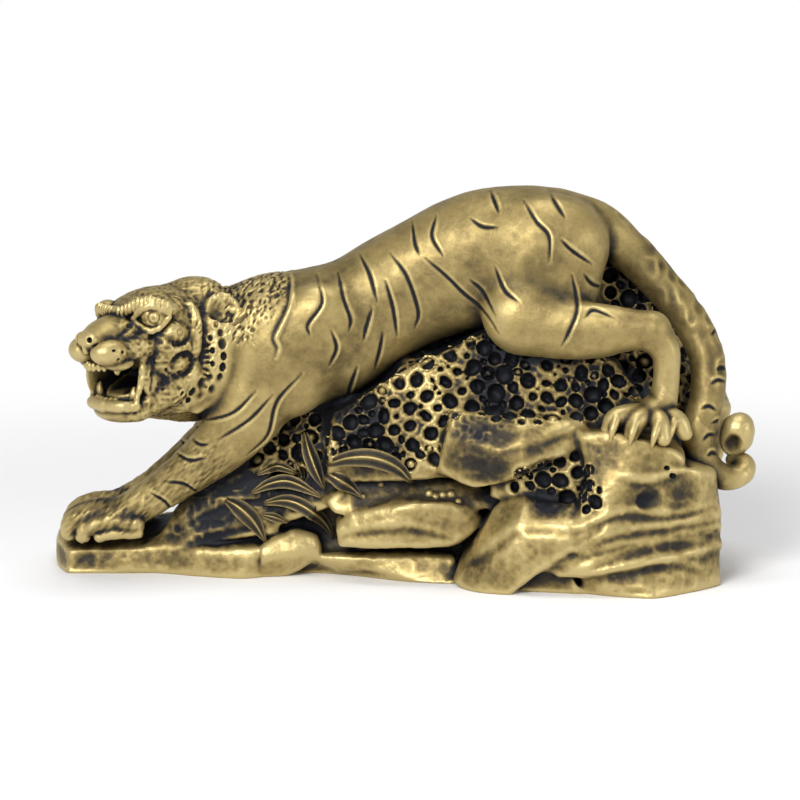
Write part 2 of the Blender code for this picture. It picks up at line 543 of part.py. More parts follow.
def add_tail(bm):
    radius = TAIL_THICKNESS / 2
    limb(bm, [(x * MM, y * MM, z * MM, share * radius, share * radius) for x, y, z, share in TAIL])


def add_skull(bm):
    for place, radii, pitch, yaw in SKULL_MIDDLE:
        head_ball(bm, place, radii, pitch, yaw)
    head_limb(bm, THROAT)
    for side in (1, -1):
        for (forward, out, up), radii, pitch, yaw in SKULL_SIDES:
            head_ball(bm, (forward, side * out, up), radii, pitch, yaw)
        head_limb(bm, RUFF, side)


def cut_mouth_and_eyes(head):
    """The open mouth, and a socket a little larger than each eye."""
    cutter = bmesh.new()
    head_ball(cutter, *MOUTH)
    eye = head_share(EYE_RADIUS)
    forward, out, up = EYE_PLACE
    for side in (1, -1):
        head_ball(cutter, (forward, side * out, up), (0.8 * eye, 1.25 * eye, 0.95 * eye), yaw=EYE_YAW)
    cut_away(head, as_object(cutter, "mouth_cutter"))


def add_face(bm):
    """Jaw, tongue, nose, eyes, brows, cheeks and fangs."""
    fang = head_share(FANG_LENGTH)
    thick = head_share(FANG_RADIUS)
    eye = head_share(EYE_RADIUS)
    nose = head_share(NOSE_WIDTH) / 2
    for place, radii in JAW_FORMS:
        head_ball(bm, place, radii)
    head_ball(bm, (27, 0, 6.3), (0.45 * nose, nose, 0.5 * nose), pitch=20)
    for side in (1, -1):
        for (forward, out, up), radii in CHEEK_FORMS:
            head_ball(bm, (forward, side * out, up), radii)
        for rod in FACE_RODS:
            head_limb(bm, rod, side)
        forward, out, up = EYE_PLACE
        head_ball(bm, (forward - 0.8 * eye, side * (out - 0.28 * eye), up), (eye, eye, eye))
        head_limb(bm, [(21.4, 5.2, -2.6, thick), (21.6, 5.3, -2.6 - 0.5 * fang, 0.75 * thick),
                       (21.3, 5.3, -2.6 - fang, 0.3 * thick)], side)
        head_limb(bm, [(18.4, 5.8, -12.8, thick), (18.6, 6.0, -12.8 + 0.5 * fang, 0.75 * thick),
                       (18.2, 6.1, -12.8 + fang, 0.3 * thick)], side)


def add_ears(bm):
    """Round ears, hollowed from the front."""
    ear = head_share(EAR_RADIUS)
    for side in (1, -1):
        shell, cutter = bmesh.new(), bmesh.new()
        head_ball(shell, (-12.4, side * 12.4, 9.2), (0.7 * ear, 0.7 * ear, 0.9 * ear))
        head_ball(shell, (-11.9, side * 14.8, 9.8), (0.36 * ear, ear, ear), yaw=51)
        head_ball(cutter, (-10.8, side * 16.2, 10.0), (0.36 * ear, 0.8 * ear, 0.8 * ear), yaw=51)
        shell = as_object(shell, "ear")
        cut_away(shell, as_object(cutter, "ear_cutter"))
        move_in(bm, shell)


def make_tiger():
    """The whole animal as one carved skin."""
    trunk = bmesh.new()
    add_torso(trunk)
    for side in (1, -1):
        add_muscles(trunk, side)
        add_legs(trunk, side)
    add_tail(trunk)
    trunk = as_object(trunk, "trunk")
    fuse(trunk, ROUGH_GRAIN, 6)

    skull = bmesh.new()
    add_skull(skull)
    skull = as_object(skull, "skull")
    fuse(skull, ROUGH_GRAIN, 3)
    cut_mouth_and_eyes(skull)

    detail = bmesh.new()
    add_face(detail)
    add_ears(detail)
    for side in (1, -1):
        add_fore_paw(detail, side)
        add_hind_paw(detail, side)
    move_in(detail, trunk)
    move_in(detail, skull)
    tiger = as_object(detail, "tiger")
    fuse(tiger, FINE_GRAIN, 2)
    carve_stripes(tiger)
    return tiger


def crag(bm, corners, depth):
    """A rock split along flat faces: the hull of its front corners and of the same ones moved back."""
    rock = bmesh.new()
    for corner in corners:
        front = Vector(corner) * MM
        rock.verts.new(front)
        rock.verts.new(front + Vector((0, depth * MM, 0)))
    hull = bmesh.ops.convex_hull(rock, input=rock.verts[:])
    inner = set(hull["geom_interior"]) | set(hull["geom_unused"])
    bmesh.ops.delete(rock, geom=[part for part in inner if isinstance(part, bmesh.types.BMVert)],
                     context="VERTS")
    bmesh.ops.recalc_face_normals(rock, faces=rock.faces[:])
    mesh = bpy.data.meshes.new("crag")
    rock.to_mesh(mesh)
    rock.free()
    add_mesh(bm, mesh)


def make_rocks():
    """The rocks as one skin with pits."""
    pile = bmesh.new()
    for x, y, z, radii, seed in BOULDERS:
        boulder(pile, (x * MM, y * MM, z * MM), [radius * MM for radius in radii], seed)
    for corners, depth in CRAGS:
        crag(pile, corners, depth)
    middle, radii, tip = KNOB
    ellipsoid(pile, Vector(middle) * MM, [radius * MM for radius in radii], tipped(tip))
    rocks = as_object(pile, "rocks")
    fuse(rocks, 2 * FINE_GRAIN, 2)
    carve_pits(rocks)
    return rocks


def add_leaves(bm, behind):
    """Leaves that lie against the front of the piece behind them."""
    for leaf in LEAVES:
        rows = []
        for x, z, lift, half in leaf:
            hit, place, _, _ = behind.ray_cast((x * MM, -0.1, z * MM), (0, 1, 0))
            if hit:
                rows.append((x * MM, place.y - lift * MM, z * MM, half * MM, LEAF_THICKNESS / 2))
        limb(bm, rows)


def thin_out(piece, triangles):
    """Keep only as many triangles as the form needs."""
    thin = piece.modifiers.new("thin", "DECIMATE")
    piece.data.calc_loop_triangles()
    thin.ratio = triangles / len(piece.data.loop_triangles)
    thin.use_collapse_triangulate = True
    apply_modifiers(piece)


def flatten_underside(piece):
    """Saw the cast off level at z = 0, so that it stands on a flat face."""
    bm = bmesh.new()
    bm.from_mesh(piece.data)
    cut = bmesh.ops.bisect_plane(bm, geom=bm.verts[:] + bm.edges[:] + bm.faces[:], plane_co=(0, 0, 0),
                                 plane_no=(0, 0, -1), clear_outer=True)
    rim = [part for part in cut["geom_cut"] if isinstance(part, bmesh.types.BMEdge)]
    bmesh.ops.holes_fill(bm, edges=rim)
    bmesh.ops.triangulate(bm, faces=bm.faces[:])
    bmesh.ops.recalc_face_normals(bm, faces=bm.faces[:])
    bm.to_mesh(piece.data)
    bm.free()


def centre_on_origin(piece):
    """Put the origin under the middle of the figurine's box."""
    points, _ = read_points(piece)
    middle = (points.min(axis=0) + points.max(axis=0)) / 2
    points -= (middle[0], middle[1], 0)
    piece.data.vertices.foreach_set("co", points.ravel())
    piece.data.update()


def bronze_paint():
    material = bpy.data.materials.new("bronze_paint")
    material.use_nodes = True
    shader = material.node_tree.nodes["Principled BSDF"]
    shader.inputs["Base Color"].default_value = (0.40, 0.26, 0.08, 1)
    shader.inputs["Metallic"].default_value = 0.8
    shader.inputs["Roughness"].default_value = 0.4
    return material


def make_figurine():
    tiger, rocks = make_tiger(), make_rocks()
    cast = bmesh.new()
    add_leaves(cast, rocks)
    move_in(cast, tiger)
    move_in(cast, rocks)
    figurine = as_object(cast, "tiger_figurine")
    fuse(figurine, FINE_GRAIN, 1)
    thin_out(figurine, TRIANGLES)
    flatten_underside(figurine)
    centre_on_origin(figurine)
    figurine.data.materials.append(bronze_paint())
    figurine.data.shade_smooth()
    figurine.data.set_sharp_from_angle(angle=math.radians(50))


for old in list(bpy.data.objects):
    bpy.data.objects.remove(old)
make_figurine()
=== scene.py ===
import math
import bmesh
import bpy
import numpy as np
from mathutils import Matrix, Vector


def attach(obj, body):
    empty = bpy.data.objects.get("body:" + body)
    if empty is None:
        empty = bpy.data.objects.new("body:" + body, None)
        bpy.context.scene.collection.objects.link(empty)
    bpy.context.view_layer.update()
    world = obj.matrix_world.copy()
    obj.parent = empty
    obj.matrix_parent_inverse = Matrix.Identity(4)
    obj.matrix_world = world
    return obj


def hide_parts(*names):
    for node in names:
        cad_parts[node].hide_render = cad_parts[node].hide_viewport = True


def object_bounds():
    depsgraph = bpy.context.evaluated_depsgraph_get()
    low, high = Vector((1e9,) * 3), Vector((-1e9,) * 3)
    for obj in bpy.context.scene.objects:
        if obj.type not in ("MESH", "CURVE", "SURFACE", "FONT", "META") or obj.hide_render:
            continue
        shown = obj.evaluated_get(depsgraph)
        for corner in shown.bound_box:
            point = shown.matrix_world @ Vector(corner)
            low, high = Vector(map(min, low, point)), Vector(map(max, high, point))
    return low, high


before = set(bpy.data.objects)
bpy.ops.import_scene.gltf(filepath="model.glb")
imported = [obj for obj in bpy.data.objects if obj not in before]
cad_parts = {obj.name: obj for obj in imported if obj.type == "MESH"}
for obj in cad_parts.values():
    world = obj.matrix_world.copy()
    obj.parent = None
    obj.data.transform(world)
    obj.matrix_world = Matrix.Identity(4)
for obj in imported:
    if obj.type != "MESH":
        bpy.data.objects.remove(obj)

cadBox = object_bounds()
nearby = 14.0   # the field's value where no form is near, in mm

# The figurine is sculpted here in millimetres: forms are melted together in a field of distances,
# which is below zero inside the cast, and the skin of the field becomes the mesh.
# The tiger looks along -x and turns its head towards -y, the front.


# the lower of two fields, with a round seam blend mm wide
def meltLow(a, b, blend):
    if blend <= 0:
        return np.minimum(a, b)
    h = np.maximum(blend - np.abs(a - b), 0) / blend
    return np.minimum(a, b) - h * h * blend * 0.25


# the values that look(dx, dy, dz) gives at a cell's corners, weighed by the shares f of the way across
def weighCorners(f, look):
    total = 0
    for dx in (0, 1):
        wx = f[:, 0] if dx else 1 - f[:, 0]
        for dy in (0, 1):
            wy = f[:, 1] if dy else 1 - f[:, 1]
            for dz in (0, 1):
                wz = f[:, 2] if dz else 1 - f[:, 2]
                total = total + wx * wy * wz * look(dx, dy, dz)
    return total


# a box of distances on a grid with a number of cells to the mm
class Clay:
    def __init__(self, low, high, fineness):
        self.low = np.array(low, np.int64)
        self.fineness = fineness
        self.cell = 1.0 / fineness
        self.size = tuple((b - a) * fineness + 1 for a, b in zip(low, high))
        self.field = np.full(self.size, nearby, np.float32)

    # the part of the grid around a box, and the places of its nodes along each axis
    def window(self, low, high, margin):
        cuts, axes = [], []
        for axis in range(3):
            first = max(int((low[axis] - margin - self.low[axis]) * self.fineness), 0)
            last = min(int((high[axis] + margin - self.low[axis]) * self.fineness) + 2, self.size[axis])
            if last <= first:
                return None, None
            cuts.append(slice(first, last))
            shape = [1, 1, 1]
            shape[axis] = last - first
            steps = np.arange(first, last, dtype=np.float32).reshape(shape)
            axes.append(self.low[axis] + self.cell * steps)
        return tuple(cuts), axes

    # melt a form on, or carve it away with sign -1
    def add(self, form, blend=0.0, sign=1):
        low, high, distance = form
        cuts, axes = self.window(low, high, blend + 3 * self.cell)
        if cuts:
            new = distance(*axes).astype(np.float32)
            self.field[cuts] = sign * meltLow(sign * self.field[cuts], new, blend)

    def cut(self, form, blend):
        self.add(form, blend, -1)

    # the field at points between the grid's nodes
    def probe(self, points):
        at = (np.asarray(points, np.float64) - self.low) * self.fineness
        at = np.clip(at, 0, np.array(self.size) - 1.001)
        i = at.astype(np.int64)
        return weighCorners(at - i, lambda dx, dy, dz: self.field[i[:, 0] + dx, i[:, 1] + dy, i[:, 2] + dz])

    # the way in which the field rises, which is outwards
    def slope(self, points):
        out = np.empty((len(points), 3))
        for axis in range(3):
            step = np.zeros(3)
            step[axis] = self.cell
            out[:, axis] = self.probe(points + step) - self.probe(points - step)
        return out / (2 * self.cell)

    # y of the first surface met at x, z, from the front (side -1) or from behind (side 1)
    def frontAt(self, x, z, side=-1):
        ys = self.low[1] + self.cell * np.arange(self.size[1])
        if side > 0:
            ys = ys[::-1]
        values = self.probe(np.stack([np.full(len(ys), x), ys, np.full(len(ys), z)], 1))
        hits = np.nonzero((values[:-1] > 0) & (values[1:] <= 0))[0]
        if len(hits) == 0:
            return None
        i = hits[0]
        share = values[i] / (values[i] - values[i + 1])
        return float(ys[i] + share * (ys[i + 1] - ys[i]))

    # points and four-sided faces where the field crosses zero
    def skin(self):
        filled = self.field < 0
        last = np.array(self.size) - 1
        places, cells, quads = [], [], []
        for axis in range(3):
            a, b = [slice(None)] * 3, [slice(None)] * 3
            a[axis], b[axis] = slice(0, -1), slice(1, None)
            edges = np.argwhere(filled[tuple(a)] != filled[tuple(b)])
            u, v = (axis + 1) % 3, (axis + 2) % 3
            clear = (edges[:, u] > 0) & (edges[:, v] > 0) & (edges[:, u] < last[u]) & (edges[:, v] < last[v])
            edges = edges[clear]
            ends = edges.copy()
            ends[:, axis] += 1
            before = self.field[edges[:, 0], edges[:, 1], edges[:, 2]]
            after = self.field[ends[:, 0], ends[:, 1], ends[:, 2]]
            crossing = edges.astype(np.float64)
            crossing[:, axis] += before / (before - after)
            corners = []
            for du, dv in ((-1, -1), (0, -1), (0, 0), (-1, 0)):
                cell = edges.copy()
                cell[:, u] += du
                cell[:, v] += dv
                corners.append((cell[:, 0] * last[1] + cell[:, 1]) * last[2] + cell[:, 2])
            corners = np.stack(corners, 1)
            inward = after < 0
            corners[inward] = corners[inward][:, ::-1]
            quads.append(corners)
            places.append(np.repeat(crossing, 4, 0))
            cells.append(corners.reshape(-1))
        names, where = np.unique(np.concatenate(cells), return_inverse=True)
        places = np.concatenate(places)
        count = np.bincount(where)
        points = np.stack([np.bincount(where, weights=places[:, k]) / count for k in range(3)], 1)
        points = points * self.cell + self.low
        faces = np.searchsorted(names, np.concatenate(quads))
        for _ in range(2):   # settle each point on the surface
            gap, slope = self.probe(points), self.slope(points)
            move = (gap / np.maximum((slope * slope).sum(1), 0.05))[:, None] * slope
            length = np.linalg.norm(move, axis=1)
            points -= move * np.minimum(1, 0.5 * self.cell / np.maximum(length, 1e-9))[:, None]
        return points, faces


# rows of numbers with a Catmull-Rom curve drawn through them
def curve(rows, steps=4):
    p = np.asarray(rows, float)
    p = np.vstack([2 * p[0] - p[1], p, 2 * p[-1] - p[-2]])
    out = []
    for a, b, c, d in zip(p[:-3], p[1:-2], p[2:-1], p[3:]):
        for t in np.arange(steps) / steps:
            out.append(0.5 * (2 * b + (c - a) * t + (2 * a - 5 * b + 4 * c - d) * t * t
                              + (3 * b - a - 3 * c + d) * t ** 3))
    out.append(p[-2])
    return np.array(out)


# a ball stretched along the rows of axes
def egg(centre, radii, axes=None):
    c, r = np.asarray(centre, float), np.asarray(radii, float)
    m = np.eye(3) if axes is None else np.asarray(axes, float)
    reach = np.sqrt(((m * r[:, None]) ** 2).sum(0))

    def distance(x, y, z):
        near = far = 0
        for i in range(3):
            q = (x - c[0]) * m[i, 0] + (y - c[1]) * m[i, 1] + (z - c[2]) * m[i, 2]
            near = near + (q / r[i]) ** 2
            far = far + (q / (r[i] * r[i])) ** 2
        near, far = np.sqrt(near), np.sqrt(far)
        return near * (near - 1) / np.maximum(far, 1e-6)
    return c - reach, c + reach, distance


# a limb through rows of x, y, z, radius seen from the side and, if it differs, radius across
def tube(rows, steps=6):
    s = curve([tuple(row) + (row[3],) if len(row) == 4 else tuple(row) for row in rows], steps)
    reach = np.max(s[:, 3:])

    def distance(x, y, z):
        best = None
        for a, b in zip(s[:-1], s[1:]):
            d = b[:3] - a[:3]
            px, py, pz = x - a[0], y - a[1], z - a[2]
            t = np.clip((px * d[0] + py * d[1] + pz * d[2]) / float(d @ d), 0, 1)
            qx, qy, qz = px - t * d[0], py - t * d[1], pz - t * d[2]
            ra, rb = a[3] + t * (b[3] - a[3]), a[4] + t * (b[4] - a[4])
            v = (np.sqrt((qx * qx + qz * qz) / (ra * ra) + qy * qy / (rb * rb)) - 1) * np.minimum(ra, rb)
            best = v if best is None else np.minimum(best, v)
        return best
    return s[:, :3].min(0) - reach, s[:, :3].max(0) + reach, distance


# a body along x through rows of x, y, z, half height, half width
def barrel(rows, power=2.3):
    s = curve(rows, 12)
    xs = s[:, 0]
    low = np.array([xs[0], (s[:, 1] - s[:, 4]).min(), (s[:, 2] - s[:, 3]).min()])
    high = np.array([xs[-1], (s[:, 1] + s[:, 4]).max(), (s[:, 2] + s[:, 3]).max()])
    lean = np.cos(np.arctan(np.gradient(s[:, 2], xs)))

    def distance(x, y, z):
        middle, height, tall, wide = (np.interp(x, xs, s[:, i]) for i in (1, 2, 3, 4))
        v = ((np.abs(z - height) / tall) ** power + (np.abs(y - middle) / wide) ** power) ** (1 / power)
        side = (v - 1) * np.minimum(tall, wide) * np.interp(x, xs, lean)
        return np.maximum(side, np.maximum(xs[0] - x, x - xs[-1]))
    return low, high, distance


# a block split along flat faces, which fills an egg
def boulder(centre, radii, seed, faces=22, rough=0.06, edge=1.2):
    c, r = np.asarray(centre, float), np.asarray(radii, float)
    rng = np.random.default_rng(seed)
    start = rng.uniform(0, 2 * math.pi)
    planes = []
    for i in range(faces):
        polar = math.acos(1 - 2 * (i + 0.5) / faces)
        turn = math.pi * (1 + math.sqrt(5)) * (i + 0.5) + start
        n = np.array([math.cos(turn) * math.sin(polar), math.sin(turn) * math.sin(polar), math.cos(polar)])
        n += rng.normal(0, 0.18, 3)
        n /= np.linalg.norm(n)
        planes.append((n, np.linalg.norm(n * r) * rng.uniform(1 - rough, 1)))

    def distance(x, y, z):
        best = None
        for n, reach in planes:
            v = (x - c[0]) * n[0] + (y - c[1]) * n[1] + (z - c[2]) * n[2] - reach
            best = v if best is None else -meltLow(-best, -v, edge)
        return best
    return c - r * 1.1, c + r * 1.1, distance


# a round bar bent into a circle about axis
def ring(centre, axis, radius, thick):
    c, a = np.asarray(centre, float), np.asarray(axis, float)
    a = a / np.linalg.norm(a)

    def distance(x, y, z):
        px, py, pz = x - c[0], y - c[1], z - c[2]
        along = px * a[0] + py * a[1] + pz * a[2]
        out = np.sqrt(np.maximum(px * px + py * py + pz * pz - along * along, 0)) - radius
        return np.sqrt(out * out + along * along) - thick
    return c - radius - thick, c + radius + thick, distance


# a block that hugs its corners and reaches depth mm back from them, with flat faces
def crag(corners, depth, edge):
    front = np.array(corners, float)
    points = np.vstack([front, front + (0, depth, 0)])
    hull = bmesh.new()
    for point in points:
        hull.verts.new(point)
    bmesh.ops.convex_hull(hull, input=hull.verts[:])
    bmesh.ops.recalc_face_normals(hull, faces=hull.faces[:])
    planes = {}
    for face in hull.faces:
        if face.calc_area() > 0.2:
            n = face.normal
            reach = n.dot(face.verts[0].co)
            planes[(round(n.x, 2), round(n.y, 2), round(n.z, 2), round(reach))] = (np.array(n), reach)
    hull.free()

    def distance(x, y, z):
        best = None
        for n, reach in planes.values():
            v = x * n[0] + y * n[1] + z * n[2] - reach
            best = v if best is None else -meltLow(-best, -v, edge)
        return best
    return points.min(0) - 1, points.max(0) + 1, distance


# axes turned about y, with +x tipped towards -z
def tipped(degrees):
    a = math.radians(degrees)
    return np.array([[math.cos(a), 0, -math.sin(a)], [0, 1, 0], [math.sin(a), 0, math.cos(a)]])


# smooth random numbers from -1 to 1, with a lump every lump mm
def fuzz(points, lump, seed):
    table = np.random.default_rng(seed).uniform(-1, 1, 4096)
    at = np.asarray(points, float) / lump + 1000
    i = np.floor(at).astype(np.int64)
    f = at - i

    def look(dx, dy, dz):
        key = ((i[:, 0] + dx) * 73856093) ^ ((i[:, 1] + dy) * 19349663) ^ ((i[:, 2] + dz) * 83492791)
        return table[key & 4095]
    return weighCorners(f * f * (3 - 2 * f), look)


# The head has its own axes: forwards, towards the near cheek, upwards
headSet = {"middle": (-70.0, -6.0, 67.2), "turn": 48, "dip": 3}
headMiddle = np.array(headSet["middle"])
headTurn, headDip = math.radians(headSet["turn"]), math.radians(headSet["dip"])
forwards = np.array([-math.cos(headTurn) * math.cos(headDip), -math.sin(headTurn) * math.cos(headDip),
                     -math.sin(headDip)])
nearwards = np.array([math.sin(headTurn), -math.cos(headTurn), 0.0])
headAxes = np.stack([forwards, nearwards, np.cross(forwards, nearwards)])


def onHead(f, n, u):
    return headMiddle + np.array([f, n, u]) @ headAxes


# an egg on the head, with its front tipped up by pitch and turned outwards by yaw
def headEgg(f, n, u, radii, pitch=0, yaw=0):
    p, w = math.radians(pitch), math.radians(yaw) * (1 if n >= 0 else -1)
    front = np.array([math.cos(w) * math.cos(p), math.sin(w) * math.cos(p), math.sin(p)])
    side = np.array([-math.sin(w), math.cos(w), 0.0])
    return egg(onHead(f, n, u), radii, np.stack([front, side, np.cross(front, side)]) @ headAxes)


# a round form with radii along facing, across it and up
def headDisc(f, n, u, facing, radii):
    m = np.array(facing, float) / np.linalg.norm(facing)
    up = np.array([0, 0, 1.0]) - m[2] * m
    up /= np.linalg.norm(up)
    return egg(onHead(f, n, u), radii, np.stack([m, np.cross(up, m), up]) @ headAxes)


def headTube(*rows):
    return tube([tuple(onHead(*row[:3])) + (row[3],) for row in rows])


browSet = {
    # forwards, towards the cheek, upwards and radius along each brow, and the tufts on them
    "near": ((14.6, 0, 12.2, 1.1), (14.4, 2.8, 12.5, 1.2), (13.2, 5.6, 13.9, 1.3), (11.0, 9.6, 15.2, 1.3),
             (7.8, 13.0, 13.8, 1.2)),
    "far": ((14.6, 0, 12.2, 1.1), (14.0, -4.0, 11.9, 1.2), (13.0, -7.6, 11.9, 1.1),
            (11.6, -10.2, 11.2, 0.8)),
    "tuft": (1.0, 0.45, 1.75), "tuftGap": 1.3}


def sculptBrow(clay, rows):
    clay.add(headTube(*rows), 0.9)
    line = curve(rows, 8)
    along = np.concatenate([[0], np.cumsum(np.linalg.norm(np.diff(line[:, :3], axis=0), axis=1))])
    for i, s in enumerate(np.arange(1.5, along[-1], browSet["tuftGap"])):
        f, n, u = (np.interp(s, along, line[:, k]) for k in range(3))
        clay.add(headEgg(f + 0.8, n, u - 0.2 + 0.15 * (i % 3), browSet["tuft"], yaw=20), 0.5)


ruffSet = {
    # forwards, towards the cheek and upwards of each pit in the ruff, and its radius
    "pits": ((-8.5, 17.2, 3.6, 1.3), (-7.4, 17.0, 6.4, 1.0), (-8.5, 17.3, 0.6, 1.6), (-8.4, 17.6, -2.8, 1.2),
             (-7.9, 17.5, -5.8, 1.3), (-7.2, 17.0, -8.6, 1.2), (-4.4, 16.4, -8.4, 1.1),
             (-4.9, 16.2, -11.8, 1.4), (-1.6, 15.2, -9.6, 1.7), (1.0, 14.4, -11.6, 1.4),
             (-2.0, 14.4, -13.2, 1.1), (1.6, 13.2, -14.2, 1.0), (5.0, 12.4, -14.0, 1.2),
             (4.6, 13.2, -11.2, 0.8), (-5.2, 16.8, -4.6, 0.9), (-5.4, 16.8, -0.8, 0.9),
             (-5.2, 16.6, 2.8, 0.9)),
    "locks": 16}


def sculptRuff(clay, s):
    for f, n, u, r in ruffSet["pits"]:
        place = onHead(f, s * n, u)
        slope = clay.slope(place[None])[0]
        outwards = slope / max(np.linalg.norm(slope), 1e-6)
        place = place - outwards * clay.probe(place[None])[0]
        clay.add(ring(place, outwards, r + 0.15, 0.3), 0.5)
        across = np.cross(outwards, (0, 0, 1.0))
        across /= np.linalg.norm(across)
        axes = np.stack([outwards, across, np.cross(outwards, across)])
        clay.cut(egg(place, (0.9, 0.72 * r, 1.05 * r), axes), 0.3)
    rng = np.random.default_rng(31)
    for i in range(ruffSet["locks"]):   # locks of fur that run back from the cheek
        a = math.radians(-62 + 130 * i / (ruffSet["locks"] - 1))
        f, n, u = 1.5 - 4.5 * math.cos(a), 15.2, -3.0 - 10.5 * math.sin(a)
        back = (-2.6 * math.cos(a) - 0.4, 0.5, -2.4 * math.sin(a) + rng.uniform(-0.4, 0.4))
        rows = []
        for t, r in ((0, 0.3), (0.5, 0.55), (1, 0.3)):
            place = onHead(f + back[0] * t, s * (n + back[1] * t), u + back[2] * t)
            slope = clay.slope(place[None])[0]
            place = place - slope * clay.probe(place[None])[0] / max(slope @ slope, 0.2)
            rows.append((*place, r))
        clay.cut(tube(rows, 2), 0.3)


